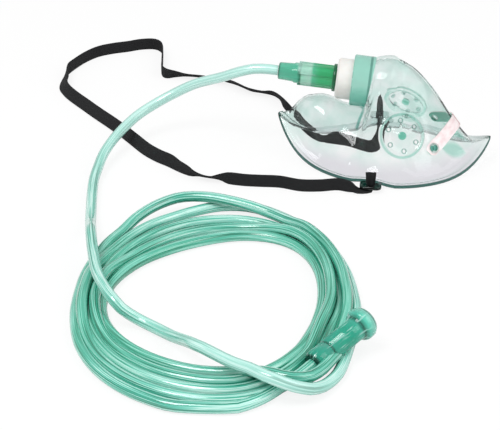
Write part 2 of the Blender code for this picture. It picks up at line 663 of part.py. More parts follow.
def add_post(shell, side):
    """A moulded pin with a flattened head that holds the clip's end."""
    origin, normal = post_frame(side)
    over = CLIP_OFF_WALL + CLIP_THICKNESS + GAP
    shank = CLIP_HOLE_RADIUS - GAP
    profile = [
        (-1.0 * MM, 0), (-1.0 * MM, shank), (over, shank), (over, POST_HEAD_RADIUS),
        (over + 0.6 * POST_HEAD, POST_HEAD_RADIUS), (over + POST_HEAD, 0.6 * POST_HEAD_RADIUS),
        (over + POST_HEAD, 0),
    ]
    boolean(shell, turned("post", profile, origin, normal, segments=20, up=(1, 0, 0)), "UNION")


def plate(name, outline_points, low, high):
    """A flat plate of this outline between two heights."""
    count = len(outline_points)
    points = [(x, y, low) for x, y in outline_points] + [(x, y, high) for x, y in outline_points]
    faces = [list(range(count)), list(range(count, 2 * count))]
    for step in range(count):
        after = (step + 1) % count
        faces.append([step, after, count + after, count + step])
    return object_from(name, points, faces)


def rounded_rectangle(centre_x, centre_y, half_x, half_y, radius, steps=6):
    found = []
    for quarter, (side_x, side_y) in enumerate(((1, 1), (-1, 1), (-1, -1), (1, -1))):
        for step in range(steps + 1):
            angle = math.pi / 2 * (quarter + step / steps)
            x = centre_x + side_x * (half_x - radius) + radius * math.cos(angle)
            found.append((x, centre_y + side_y * (half_y - radius) + radius * math.sin(angle)))
    return found


def add_tab(shell, side):
    inner = RIM_HALF_WIDTH - TAB_OVERLAP
    centre = side * (inner + TAB_REACH) / 2
    corners = rounded_rectangle(TAB_X, centre, TAB_HALF_LENGTH, (TAB_REACH - inner) / 2, TAB_CORNER)
    low = RIM_ARCH + 0.1 * MM
    boolean(shell, plate("tab", corners, low, low + TAB_THICKNESS), "UNION")


def cut_slot(shell, side):
    corners = rounded_rectangle(TAB_X, side * SLOT_Y, SLOT_LENGTH / 2, SLOT_WIDTH / 2, 1 * MM, 3)
    boolean(shell, plate("slot", corners, -1 * MM, RIM_ARCH + TAB_THICKNESS + 3 * MM), "DIFFERENCE")


def make_shell(finish):
    shell = shell_solid()
    boolean(shell, port_boss(False), "UNION")
    for side in (1, -1):
        add_disc(shell, side)
        add_tab(shell, side)
    boolean(shell, hollow_solid(), "DIFFERENCE")
    boolean(shell, port_boss(True), "DIFFERENCE")
    for side in (1, -1):
        cut_disc(shell, side)
        cut_slot(shell, side)
        add_post(shell, side)
    shell.data.materials.clear()
    shell.data.materials.append(finish)
    shell.data.shade_smooth()
    shell.data.set_sharp_from_angle(angle=math.radians(35))


def make_clip(finish):
    """The metal strip follows the wall, with round ends and a hole for each post."""
    rows = 41
    columns = 5
    lower = []
    upper = []
    for row in range(rows):
        place = -math.cos(math.pi * row / (rows - 1) * 0.985 + 0.0075 * math.pi)
        spread = np.clip(place * 1.02, -1, 1) * CLIP_HALF_LENGTH
        distance = math.copysign(min(abs(spread), CLIP_HALF_LENGTH - 0.15 * MM), spread)
        middle = clip_point(distance)
        past = max(0.0, abs(distance) - (CLIP_HALF_LENGTH - CLIP_WIDTH / 2))
        half = math.sqrt((CLIP_WIDTH / 2) ** 2 - past**2)
        slope_x, slope_y = slope_at(height_at, middle.x, middle.y)
        normal = Vector((-slope_x, -slope_y, 1)).normalized()
        near, far = clip_point(distance - 1 * MM), clip_point(distance + 1 * MM)
        across = normal.cross(far - near).normalized()
        for column in range(columns):
            offset = half * (2 * column / (columns - 1) - 1)
            spot = middle + across * offset
            lower.append(wall_point(spot.x, spot.y, CLIP_OFF_WALL)[0])
            upper.append(wall_point(spot.x, spot.y, CLIP_OFF_WALL + CLIP_THICKNESS)[0])
    points = lower + upper
    top = len(lower)
    faces = []
    for row in range(rows - 1):
        for column in range(columns - 1):
            corner = row * columns + column
            quad = [corner, corner + 1, corner + columns + 1, corner + columns]
            faces.append(quad)
            faces.append([top + index for index in quad])
    edge = [row * columns for row in range(rows)]
    edge += [(rows - 1) * columns + column for column in range(1, columns)]
    edge += [row * columns + columns - 1 for row in range(rows - 2, -1, -1)]
    edge += [column for column in range(columns - 2, 0, -1)]
    for start, end in zip(edge, edge[1:] + edge[:1]):
        faces.append([start, end, top + end, top + start])
    clip = object_from("nose_clip", points, faces)
    for side in (1, -1):
        origin, normal = post_frame(side)
        profile = [(-1 * MM, 0), (-1 * MM, CLIP_HOLE_RADIUS), (3 * MM, CLIP_HOLE_RADIUS), (3 * MM, 0)]
        boolean(clip, turned("hole", profile, origin, normal, segments=20, up=(1, 0, 0)), "DIFFERENCE")
    clip.data.materials.clear()
    clip.data.materials.append(finish)


def make_collar(finish):
    """A ring over the stub, with a lip at its outer end and a sloped inner end."""
    bore = STUB_RADIUS + GAP
    lip = STUB_BORE + 0.1 * MM
    profile = [
        (-COLLAR_LENGTH, bore), (-COLLAR_LENGTH, COLLAR_RADIUS), (-0.6 * MM, COLLAR_RADIUS),
        (0, COLLAR_RADIUS - 0.6 * MM), (0, lip), (-COLLAR_LIP, lip), (-COLLAR_LIP, bore),
    ]
    lean_back(turned("port_collar", profile, PORT_ORIGIN, PORT_AXIS, finish, 36), -0.9 * COLLAR_LENGTH)


def make_cup(finish):
    """The adapter cup, open to the mask, with an end wall that holds the connector."""
    outer = STUB_BORE - GAP
    inner = outer - CUP_WALL
    hole = CONNECTOR_SPIGOT + GAP
    start = CUP_END - CUP_DEPTH
    profile = [
        (start, inner), (start, outer), (CUP_END - 1.2 * MM, outer), (CUP_END, outer - 1.2 * MM),
        (CUP_END, hole), (CUP_END - 2 * CUP_WALL, hole), (CUP_END - 2 * CUP_WALL, inner),
    ]
    turned("port_cup", profile, PORT_ORIGIN, PORT_AXIS, finish, 36)


def make_tubing_connector(finish):
    """A tapered sleeve with grip ribs, a flange against the cup and a spigot inside it."""
    start = CUP_END + GAP
    flange_end = start + CONNECTOR_FLANGE_WIDTH
    end = CUP_END + CONNECTOR_LENGTH
    spigot = CUP_END - CONNECTOR_SPIGOT_LENGTH
    profile = [
        (spigot, CONNECTOR_BORE), (spigot, CONNECTOR_SPIGOT),
        (start, CONNECTOR_SPIGOT), (start, CONNECTOR_FLANGE), (flange_end, CONNECTOR_FLANGE),
        (flange_end + 0.4 * MM, CONNECTOR_BODY),
        (end - CONNECTOR_TUBE_END_LENGTH - 1 * MM, CONNECTOR_BODY - 0.8 * MM),
        (end - CONNECTOR_TUBE_END_LENGTH, CONNECTOR_TUBE_END + 0.4 * MM),
        (end - 0.6 * MM, CONNECTOR_TUBE_END), (end, CONNECTOR_TUBE_END - 0.6 * MM), (end, CONNECTOR_BORE),
    ]
    connector = turned("tubing_connector", profile, PORT_ORIGIN, PORT_AXIS, None, 24)
    side = Vector((0, 1, 0))
    over = PORT_AXIS.cross(side)
    length = end - CONNECTOR_TUBE_END_LENGTH - 3 * MM - flange_end
    for step in range(CONNECTOR_RIBS):
        angle = 2 * math.pi * (step + 0.5) / CONNECTOR_RIBS
        outward = math.cos(angle) * side + math.sin(angle) * over
        middle = PORT_ORIGIN + PORT_AXIS * (flange_end + length / 2) + outward * (CONNECTOR_BODY - 0.5 * MM)
        rib = block("rib", middle, PORT_AXIS, outward, length, CONNECTOR_RIB_WIDTH, 2 * CONNECTOR_RIB_HEIGHT)
        boolean(connector, rib, "UNION")
    connector.data.materials.clear()
    connector.data.materials.append(finish)


def block(name, middle, along, outward, length, width, height):
    """A straight bar with its length along one direction and its height along another."""
    across = along.cross(outward).normalized()
    points = []
    for end in (-0.5, 0.5):
        for turn_x, turn_y in ((-0.5, -0.5), (0.5, -0.5), (0.3, 0.5), (-0.3, 0.5)):
            offset = across * (turn_x * width) + outward * (turn_y * height)
            points.append(middle + along * (end * length) + offset)
    faces = [[0, 1, 2, 3], [4, 5, 6, 7]]
    faces += [[step, (step + 1) % 4, 4 + (step + 1) % 4, 4 + step] for step in range(4)]
    return object_from(name, points, faces)


def make_strap(finish):
    """The woven band swept along its route, turned by the direction of its width."""
    stops = [(x, y, z, *width, drawn) for x, y, z, width, drawn in STRAP_ROUTE]
    route = curve_through(stops, STRAP_POINT_SPACING / MM)
    route[:, :3] *= MM
    points = []
    for index, (x, y, z, *width, drawn) in enumerate(route):
        before = Vector(route[max(index - 1, 0)][:3])
        after = Vector(route[min(index + 1, len(route) - 1)][:3])
        along = (after - before).normalized()
        across = Vector(width)
        across = (across - along * across.dot(along)).normalized()
        thin = along.cross(across)
        for turn_wide, turn_thin in ((-0.5, -0.5), (0.5, -0.5), (0.5, 0.5), (-0.5, 0.5)):
            offset = across * (turn_wide * STRAP_WIDTH * drawn) + thin * (turn_thin * STRAP_THICKNESS)
            points.append(Vector((x, y, z)) + offset)
    faces = [[0, 1, 2, 3], [len(points) - 4 + step for step in range(4)]]
    for row in range(len(route) - 1):
        for step in range(4):
            after = (step + 1) % 4
            low = 4 * row
            faces.append([low + step, low + after, low + 4 + after, low + 4 + step])
    object_from("elastic_strap", points, faces, finish)


def make_tube(name, route, finish, spacing=TUBE_POINT_SPACING):
    path = curve_through(route, spacing / MM) * MM
    curve = bpy.data.curves.new(name, "CURVE")
    curve.dimensions = "3D"
    curve.bevel_depth = TUBE_RADIUS
    curve.bevel_resolution = 3
    curve.use_fill_caps = True
    spline = curve.splines.new("POLY")
    spline.points.add(len(path) - 1)
    for point, place in zip(spline.points, path):
        point.co = (*place, 1)
    curve.materials.append(finish)
    made = bpy.data.objects.new(name, curve)
    bpy.context.scene.collection.objects.link(made)


def lead_route():
    """The tube leaves the connector on the port's axis, one gap from its end face."""
    end = PORT_ORIGIN + PORT_AXIS * (CUP_END + CONNECTOR_LENGTH + GAP)
    return [tuple(end / MM)] + list(LEAD_ROUTE)


def ring_radius(stops, angle):
    """Radius of a smooth closed line about the coil's centre."""
    centre = np.array(COIL_CENTRE) / MM
    around = [np.array(stop) - centre for stop in stops]
    angles = np.unwrap([math.atan2(y, x) for x, y in around])
    radii = np.array([math.hypot(x, y) for x, y in around])
    places = np.concatenate([angles - 2 * math.pi, angles, angles + 2 * math.pi])
    order = np.argsort(places)
    values = np.tile(radii, 3)[order]
    return float(np.interp(angle, places[order], values)) * MM


def smooth_radius(stops, angle):
    near = [ring_radius(stops, angle + turn) for turn in (-0.16, -0.08, 0, 0.08, 0.16)]
    return sum(near) / len(near)


def make_coil(finish):
    """The wound tube as one ring with a rounded section, cut clear of the supply connector."""
    lift = 0.05 * MM
    corner = TUBE_RADIUS * 0.8
    points = []
    for step in range(COIL_STEPS):
        angle = -math.pi + 2 * math.pi * step / COIL_STEPS
        inner = smooth_radius(COIL_INNER, angle)
        outer = smooth_radius(COIL_OUTER, angle)
        section = (
            (inner + corner, lift), (outer - corner, lift), (outer, lift + corner),
            (outer, COIL_HEIGHT - corner), (outer - corner, COIL_HEIGHT), (inner + corner, COIL_HEIGHT),
            (inner, COIL_HEIGHT - corner), (inner, lift + corner),
        )
        for radius, z in section:
            x = COIL_CENTRE[0] + radius * math.cos(angle)
            points.append((x, COIL_CENTRE[1] + radius * math.sin(angle), z))
    faces = []
    for step in range(COIL_STEPS):
        low = 8 * step
        high = 8 * ((step + 1) % COIL_STEPS)
        for corner_step in range(8):
            after = (corner_step + 1) % 8
            faces.append([low + corner_step, low + after, high + after, high + corner_step])
    coil = object_from("oxygen_tube_coil", points, faces, finish)
    boolean(coil, supply_clearance(), "DIFFERENCE")
    coil.data.shade_smooth()
    coil.data.set_sharp_from_angle(angle=math.radians(50))
    coil.data.materials.clear()
    coil.data.materials.append(finish)


def supply_frame():
    start = Vector(SUPPLY_FROM)
    end = Vector(SUPPLY_TO)
    return start, (end - start).normalized(), (end - start).length


def supply_clearance():
    """A slot-shaped helper round the supply connector, open upwards."""
    start, along, length = supply_frame()
    across = along.cross(Vector((0, 0, 1))).normalized()
    over_coil = Vector((0, 0, COIL_HEIGHT))
    lean = TUBE_RADIUS * along.z
    points = []
    stations = (
        (-TAIL_LENGTH - 2 * GAP - lean, TUBE_RADIUS), (-3 * MM, TUBE_RADIUS), (-2 * MM, SUPPLY_BODY),
        (length - SUPPLY_LIP_LENGTH - 4 * MM, SUPPLY_BODY), (length - SUPPLY_LIP_LENGTH, SUPPLY_LIP),
        (length + 12 * MM, SUPPLY_LIP),
    )
    for place, radius in stations:
        wide = radius + COIL_CLEARANCE
        for turn in range(7):
            angle = -math.pi * turn / 6
            offset = across * (wide * math.cos(angle)) + Vector((0, 0, wide * math.sin(angle)))
            points.append(start + along * place + offset)
        for side in (-1, 1):
            points.append(start + along * place + across * (side * wide) + over_coil)
    last = 9 * (len(stations) - 1)
    faces = [list(range(9)), list(range(last, last + 9))]
    for row in range(len(stations) - 1):
        for step in range(9):
            after = (step + 1) % 9
            low = 9 * row
            faces.append([low + step, low + after, low + 9 + after, low + 9 + step])
    return object_from("clearance", points, faces)


def make_supply_connector(finish):
    """A long sleeve with a seam ring and a flared mouth; the tube enters its narrow end."""
    start, along, length = supply_frame()
    lip_start = length - SUPPLY_LIP_LENGTH
    floor = length - SUPPLY_SOCKET_DEPTH
    groove = SUPPLY_BODY - SUPPLY_SEAM_DEPTH
    profile = [
        (0, SUPPLY_BORE), (0, SUPPLY_THROAT), (1.2 * MM, SUPPLY_BODY), (SUPPLY_SEAM - 1 * MM, SUPPLY_BODY),
        (SUPPLY_SEAM - 0.8 * MM, groove), (SUPPLY_SEAM, groove),
        (SUPPLY_SEAM + 0.2 * MM, SUPPLY_BODY), (lip_start - 2 * MM, SUPPLY_BODY),
        (lip_start + 1 * MM, SUPPLY_BODY + 0.7 * MM), (lip_start + 1.6 * MM, SUPPLY_LIP - 0.6 * MM),
        (lip_start + 3 * MM, SUPPLY_LIP), (length - 2 * MM, SUPPLY_LIP),
        (length, SUPPLY_LIP - SUPPLY_LIP_ROUNDING), (length, SUPPLY_LIP - SUPPLY_LIP_ROUNDING - SUPPLY_WALL),
        (lip_start + 2 * MM, SUPPLY_BODY - SUPPLY_WALL + 0.6 * MM),
        (lip_start - 2 * MM, SUPPLY_BODY - SUPPLY_WALL), (floor, SUPPLY_THROAT - SUPPLY_WALL),
        (floor, SUPPLY_BORE),
    ]
    turned("supply_connector", profile, start, along, finish, 28)


def tail_route():
    start, along, length = supply_frame()
    return [tuple((start - along * (GAP + TAIL_LENGTH * share)) / MM) for share in (0, 0.5, 1)]


def main():
    remove_startup_objects()
    clear_green = material("clear_shell", (0.70, 0.78, 0.76), 0.12, alpha=0.35)
    collar_green = material("collar_green", (0.20, 0.62, 0.46), 0.3)
    white = material("cup_white", (0.80, 0.78, 0.75), 0.4)
    connector_green = material("connector_green", (0.07, 0.45, 0.30), 0.25)
    tube_green = material("tube_green", (0.25, 0.62, 0.50), 0.2)
    supply_green = material("supply_green", (0.06, 0.42, 0.28), 0.25)
    metal = material("clip_metal", (0.80, 0.76, 0.76), 0.35, metallic=0.6)
    woven = material("strap_black", (0.02, 0.02, 0.02), 0.9)
    make_shell(clear_green)
    make_clip(metal)
    make_collar(collar_green)
    make_cup(white)
    make_tubing_connector(connector_green)
    make_strap(woven)
    make_tube("oxygen_tube_lead", lead_route(), tube_green)
    make_coil(tube_green)
    make_tube("oxygen_tube_tail", tail_route(), tube_green, 6 * MM)
    make_supply_connector(supply_green)


main()
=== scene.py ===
import math

import bmesh
import bpy
import numpy as np
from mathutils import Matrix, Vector


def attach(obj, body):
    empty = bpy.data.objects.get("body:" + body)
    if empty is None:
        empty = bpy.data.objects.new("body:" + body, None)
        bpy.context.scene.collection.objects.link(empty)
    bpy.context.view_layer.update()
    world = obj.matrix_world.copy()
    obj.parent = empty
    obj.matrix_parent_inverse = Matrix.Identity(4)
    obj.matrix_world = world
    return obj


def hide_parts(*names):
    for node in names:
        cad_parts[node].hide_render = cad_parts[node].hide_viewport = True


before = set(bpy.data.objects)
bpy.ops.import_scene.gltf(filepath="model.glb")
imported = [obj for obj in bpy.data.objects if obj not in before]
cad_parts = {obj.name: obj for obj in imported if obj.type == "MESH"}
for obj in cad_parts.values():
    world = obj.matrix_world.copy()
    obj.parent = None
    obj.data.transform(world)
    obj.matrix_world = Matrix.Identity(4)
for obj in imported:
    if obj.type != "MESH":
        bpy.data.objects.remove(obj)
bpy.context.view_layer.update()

# Camera: a long lens from the near cheek side of the mask, looking down on the whole set
# as it lies on the table.
MM = 0.001
VIEW_AZIMUTH = math.radians(6.5)
VIEW_ELEVATION = math.radians(28)
VIEW_DISTANCE = 1.1
VIEW_TARGET = Vector((-0.07122, -0.08808, 0))
VIEW_LENS = 137.33
SENSOR_WIDTH = 36

camera_data = bpy.data.cameras.new("camera")
camera_data.lens = VIEW_LENS
camera_data.sensor_width = SENSOR_WIDTH
camera = bpy.data.objects.new("camera", camera_data)
bpy.context.scene.collection.objects.link(camera)
to_camera = Vector((
    math.sin(VIEW_AZIMUTH) * math.cos(VIEW_ELEVATION),
    -math.cos(VIEW_AZIMUTH) * math.cos(VIEW_ELEVATION),
    math.sin(VIEW_ELEVATION),
))
camera.location = VIEW_TARGET + to_camera * VIEW_DISTANCE
camera.rotation_euler = to_camera.to_track_quat("Z", "Y").to_euler()
bpy.context.scene.camera = camera
bpy.context.scene.view_settings.view_transform = "Standard"


# Supply tube: one length of soft clear green PVC tube, extruded. Its fine lines along the wall are painted:
# dark ones as shade where the clear wall bends the light, pale ones as painted highlights.
# It leaves the connector on the mask, lies on the table and over itself in five loose turns,
# and ends in the supply connector.
TUBE_RADIUS = 3.1 * MM
TUBE_SIDES = 20
TUBE_POINT_SPACING = 5 * MM
PORT_ORIGIN = Vector((-19.3, 0, 48.9)) * MM
PORT_TILT = math.radians(5)
PORT_AXIS = Vector((-math.cos(PORT_TILT), 0, math.sin(PORT_TILT)))
CUP_END = 9.4 * MM
CONNECTOR_LENGTH = 35.3 * MM
GAP = 0.3 * MM
TUBE_EXIT = PORT_ORIGIN + PORT_AXIS * (CUP_END + CONNECTOR_LENGTH + GAP)
# From the mask to the coil, over its left side and along its front, in millimetres as all stops are
LEAD_ROUTE = (
    (-72, 0, 53.4), (-80, 0, 52.9), (-89, 1.4, 49.8), (-98, 5, 44.8), (-107, 10, 40), (-117, 14, 35),
    (-128, 15.5, 28.6), (-140, 12, 22.4), (-151, 3, 17.4), (-158.6, -11, 13.8), (-163.2, -24, 11.2),
    (-166.3, -36, 8.2), (-167.4, -48, 5.4), (-167.4, -62, 3.8), (-164.8, -82, 3.4), (-161.5, -102, 3.8),
    (-158.5, -119, 6), (-155.7, -132, 11), (-153, -145, 15.2), (-149.6, -160, 15.7), (-145.2, -177, 15.7),
    (-141.5, -189.5, 15.7), (-138.2, -197.8, 15.7), (-135, -204.4, 15.7), (-131.2, -211.4, 15.6),
    (-127.2, -217, 14.8), (-123, -218.6, 11), (-118.3, -218.2, 7.2), (-113, -219.5, 5), (-106.9, -222.4, 4),
    (-100.9, -227, 4.2), (-94.7, -233.4, 5.6), (-88.6, -241, 8.6), (-84, -248, 11.9), (-79.8, -255.1, 14.9),
    (-75.2, -258.9, 15.6), (-68.8, -263.8, 15.7), (-61, -269.5, 15.7), (-55.1, -272.8, 15.7),
    (-49, -275.6, 15.7),
)
# Over the last turn and down to the outermost place on the right
LEAD_CROSSING = (
    (-43.6, -279.6, 15.7), (-37.8, -281.9, 15), (-31, -282, 12.6), (-24.5, -279.6, 9.4),
    (-18.6, -275, 6.2), (-12.8, -266.3, 3.8), (-7.4, -252, 3.2),
)
# From the innermost place on the left, over the tube's end, and back beside the supply connector
INNER_CROSSING = (
    (-69, -261.2, 3.2), (-61, -262, 4.4), (-53.5, -264.2, 6.8), (-46, -267.4, 9.2),
    (-40, -270.6, 10.8), (-33.5, -273.4, 11.2), (-27.2, -273.2, 10.6), (-21.2, -269.4, 9.4),
    (-16, -261, 8.6), (-11.6, -250, 8.4), (-9, -241, 7), (-9, -232, 4.4), (-10.4, -224, 3.2),
)
# From the outermost place on the left, under both crossings, into the supply connector
TAIL_ROUTE = (
    (-57.5, -291.4, 3.2), (-48.7, -286.6, 3.2), (-42.1, -280.2, 3.2), (-36.5, -272.6, 3.3),
    (-32.2, -266.8, 3.7),
)
SUPPLY_FROM = Vector((-20.9, -253.9, 6.9)) * MM
SUPPLY_TO = Vector((3.3, -222.6, 15.2)) * MM
SUPPLY_AXIS = (SUPPLY_TO - SUPPLY_FROM).normalized()
SUPPLY_LENGTH = (SUPPLY_TO - SUPPLY_FROM).length
TAIL_LENGTH = 9 * MM

# The wound part: its centre, and its outer and inner border on the table
COIL_CENTRE = (-80, -188)
COIL_OUTER = (
    (-2, -192), (-9, -158), (-28, -116), (-58, -87), (-87, -75), (-112, -81), (-133, -103), (-147, -138),
    (-152.5, -176), (-151, -208), (-143, -242), (-126, -272), (-98, -292), (-65, -300), (-38, -290),
    (-18, -272), (-6, -240),
)
COIL_INNER = (
    (-26, -192), (-29, -160), (-39, -132), (-58, -119), (-81, -125), (-102, -138), (-121, -156),
    (-131, -176), (-134, -196), (-128, -222), (-114, -240), (-96, -252), (-72, -259), (-50, -256),
    (-37, -243), (-29, -220),
)
BORDER_SMOOTHING = 0.07
# Between these angles a turn changes its place, and one that goes outwards rises over the others
SWAP_ANGLES = (84, 112)
PASSING_RISE = 6.6
PASSING_HALF_ANGLE = 34
# Angles where a turn starts and ends, at the lower right. Beside a crossing it is shorter, and from
# the lower left on it moves to the place of the next turn.
COIL_STEP = 8
TURN_START = -25
TURN_START_BY_CROSSING = -12
TURN_END = 335
TURN_END_BY_CROSSING = 272
MOVE_FROM = 285
# Height of a turn that lies on the table, and of one that lies on two others
LOW = 3.2
HIGH = 8.5
# Five places across the winding, each as (share of the way inwards, height), and the angles round it
# at which they lie so
SIDE_BY_SIDE = ((0, LOW), (0.25, LOW), (0.5, LOW), (0.75, LOW), (1, LOW))
STACKED = ((0, LOW), (0.25, HIGH), (0.5, LOW), (0.75, HIGH), (1, LOW))
BY_CONNECTOR = ((0, LOW), (0.3, LOW), (0.62, LOW), (0.81, HIGH), (1, LOW))
PLACES_AT = (
    (TURN_START, BY_CONNECTOR), (0, STACKED), (60, STACKED), (SWAP_ANGLES[0], SIDE_BY_SIDE),
    (145, SIDE_BY_SIDE), (172, STACKED), (198, STACKED), (228, SIDE_BY_SIDE),
    (MOVE_FROM, SIDE_BY_SIDE), (TURN_END, BY_CONNECTOR),
)
# The place of each turn on its way up the right side, and after it has passed the top
PLACE_RIGHT = (0, 2, 3, 4, 1)
PLACE_LEFT = (1, 2, 3, 4, 0)
# The painted shade of the two sides, a deeper green, fades out over these stretches of Y, and the lead has
# none of it
SIDES_TOP = (-0.150, -0.095)
SIDES_BOTTOM = (-0.290, -0.235)
LEAD_END = (0.5, 0.8)


def curve_through(stops, spacing):
    """Points at an even spacing on a smooth curve through the stops, which may carry more values."""
    stops = np.asarray(stops, float)
    ends = np.vstack([2 * stops[0] - stops[1], stops, 2 * stops[-1] - stops[-2]])
    dense = []
    for before, start, end, after in zip(ends, ends[1:], ends[2:], ends[3:]):
        for share in np.linspace(0, 1, 24, endpoint=False):
            bend = 2 * before - 5 * start + 4 * end - after
            turn = 3 * start - before - 3 * end + after
            dense.append(0.5 * (2 * start + (end - before) * share + bend * share**2 + turn * share**3))
    dense.append(stops[-1])
    dense = np.array(dense)
    travelled = np.insert(np.cumsum(np.linalg.norm(np.diff(dense[:, :3], axis=0), axis=1)), 0, 0)
    count = max(2, round(travelled[-1] / spacing) + 1)
    places = np.linspace(0, travelled[-1], count)
    return np.column_stack([np.interp(places, travelled, column) for column in dense.T])


def winding_radius(stops, angle):
    """Distance from the coil's centre to a smooth closed line round it, in millimetres."""
    around = np.array(stops, float) - np.array(COIL_CENTRE)
    angles = np.unwrap(np.arctan2(around[:, 1], around[:, 0]))
    radii = np.hypot(around[:, 0], around[:, 1])
    places = np.concatenate([angles - 2 * math.pi, angles, angles + 2 * math.pi])
    order = np.argsort(places)
    near = [angle + BORDER_SMOOTHING * step for step in range(-4, 5)]
    return float(np.mean(np.interp(near, places[order], np.tile(radii, 3)[order])))


def place_across(angle, before, after):
    """(share inwards, height) at this angle of a turn that changes place at the top."""
    angles = [row[0] for row in PLACES_AT]
    found = []
    for value in (0, 1):
        first = np.interp(angle, angles, [row[1][before][value] for row in PLACES_AT])
        last = np.interp(angle, angles, [row[1][after][value] for row in PLACES_AT])
        moved = min(1, max(0, (angle - SWAP_ANGLES[0]) / (SWAP_ANGLES[1] - SWAP_ANGLES[0])))
        found.append(first + (last - first) * moved * moved * (3 - 2 * moved))
    if after < before:
        middle = (SWAP_ANGLES[0] + SWAP_ANGLES[1]) / 2
        hump = max(0, 1 - ((angle - middle) / PASSING_HALF_ANGLE) ** 2)
        found[1] = max(found[1], LOW + PASSING_RISE * hump)
    return found


def winding_point(angle, share, height):
    """The place at this angle, this share of the way from the outer to the inner border."""
    turned_by = math.radians(angle)
    outer = winding_radius(COIL_OUTER, turned_by) - TUBE_RADIUS / MM
    inner = winding_radius(COIL_INNER, turned_by) + TUBE_RADIUS / MM
    radius = outer + (inner - outer) * share
    x = COIL_CENTRE[0] + radius * math.cos(turned_by)
    return (x, COIL_CENTRE[1] + radius * math.sin(turned_by), height)


def winding():
    """The five turns, counter-clockwise from the lower right."""
    found = []
    for turn, (before, after) in enumerate(zip(PLACE_RIGHT, PLACE_LEFT)):
        last_turn = turn == len(PLACE_RIGHT) - 1
        following = after if last_turn else PLACE_RIGHT[turn + 1]
        crosses = not last_turn and following < after
        start = TURN_START_BY_CROSSING if last_turn else TURN_START
        end = TURN_END_BY_CROSSING if last_turn or crosses else TURN_END - COIL_STEP
        for angle in range(start, end, COIL_STEP):
            share, height = place_across(angle, before, after)
            if angle > MOVE_FROM:
                later = place_across(angle, following, following)
                moved = (angle - MOVE_FROM) / (TURN_END - MOVE_FROM)
                share += (later[0] - share) * moved
                height += (later[1] - height) * moved
            found.append(winding_point(angle, share, height))
        if crosses:
            found += list(INNER_CROSSING)
    return found


tube_end = SUPPLY_FROM - SUPPLY_AXIS * GAP
into_connector = [tuple((tube_end - SUPPLY_AXIS * TAIL_LENGTH * share) / MM) for share in (1, 0.5, 0)]
tube_stops = [tuple(TUBE_EXIT / MM), *LEAD_ROUTE, *LEAD_CROSSING, *winding(), *TAIL_ROUTE, *into_connector]
tube_path = [tuple(point) for point in curve_through(tube_stops, TUBE_POINT_SPACING / MM) * MM]


def node_tree_with(name, inputs):
    """An empty Geometry Nodes tree with named inputs, and the ends that its nodes join."""
    tree = bpy.data.node_groups.new(name, "GeometryNodeTree")
    tree.interface.new_socket("Geometry", in_out="INPUT", socket_type="NodeSocketGeometry")
    for label, kind in inputs:
        tree.interface.new_socket(label, in_out="INPUT", socket_type=kind)
    tree.interface.new_socket("Geometry", in_out="OUTPUT", socket_type="NodeSocketGeometry")
    return tree, tree.nodes.new("NodeGroupInput"), tree.nodes.new("NodeGroupOutput")


def tube_tree():
    """A round tube along a line. Each point keeps its distance along the line and its place round it."""
    tree, given, result = node_tree_with("tube_along_line", (
        ("Radius", "NodeSocketFloat"), ("Sides", "NodeSocketInt"), ("Finish", "NodeSocketMaterial"),
    ))
    nodes, links = tree.nodes, tree.links
    line = nodes.new("GeometryNodeMeshToCurve")
    links.new(given.outputs["Geometry"], line.inputs["Mesh"])
    travelled = nodes.new("GeometryNodeCaptureAttribute")
    travelled.capture_items.new("FLOAT", "Distance")
    links.new(line.outputs["Curve"], travelled.inputs["Geometry"])
    links.new(nodes.new("GeometryNodeSplineParameter").outputs["Length"], travelled.inputs["Distance"])
    ring = nodes.new("GeometryNodeCurvePrimitiveCircle")
    links.new(given.outputs["Sides"], ring.inputs["Resolution"])
    links.new(given.outputs["Radius"], ring.inputs["Radius"])
    around = nodes.new("GeometryNodeCaptureAttribute")
    around.capture_items.new("VECTOR", "Around")
    links.new(ring.outputs["Curve"], around.inputs["Geometry"])
    shrunk = nodes.new("ShaderNodeVectorMath")
    shrunk.operation = "NORMALIZE"
    links.new(nodes.new("GeometryNodeInputPosition").outputs["Position"], shrunk.inputs[0])
    links.new(shrunk.outputs["Vector"], around.inputs["Around"])
    tube = nodes.new("GeometryNodeCurveToMesh")
    tube.inputs["Fill Caps"].default_value = True
    links.new(travelled.outputs["Geometry"], tube.inputs["Curve"])
    links.new(around.outputs["Geometry"], tube.inputs["Profile Curve"])
    place = nodes.new("ShaderNodeCombineXYZ")
    split = nodes.new("ShaderNodeSeparateXYZ")
    links.new(around.outputs["Around"], split.inputs["Vector"])
    links.new(split.outputs["X"], place.inputs["X"])
    links.new(split.outputs["Y"], place.inputs["Y"])
    links.new(travelled.outputs["Distance"], place.inputs["Z"])
    kept = nodes.new("GeometryNodeStoreNamedAttribute")
    kept.data_type = "FLOAT_VECTOR"
    kept.inputs["Name"].default_value = "round_and_along"
    links.new(tube.outputs["Mesh"], kept.inputs["Geometry"])
    links.new(place.outputs["Vector"], kept.inputs["Value"])
    smooth = nodes.new("GeometryNodeSetShadeSmooth")
    links.new(kept.outputs["Geometry"], smooth.inputs["Geometry"])
    whole = nodes.new("GeometryNodeRealizeInstances")
    links.new(smooth.outputs["Geometry"], whole.inputs["Geometry"])
    finished = nodes.new("GeometryNodeSetMaterial")
    links.new(whole.outputs["Geometry"], finished.inputs["Geometry"])
    links.new(given.outputs["Finish"], finished.inputs["Material"])
    links.new(finished.outputs["Geometry"], result.inputs["Geometry"])
    return tree


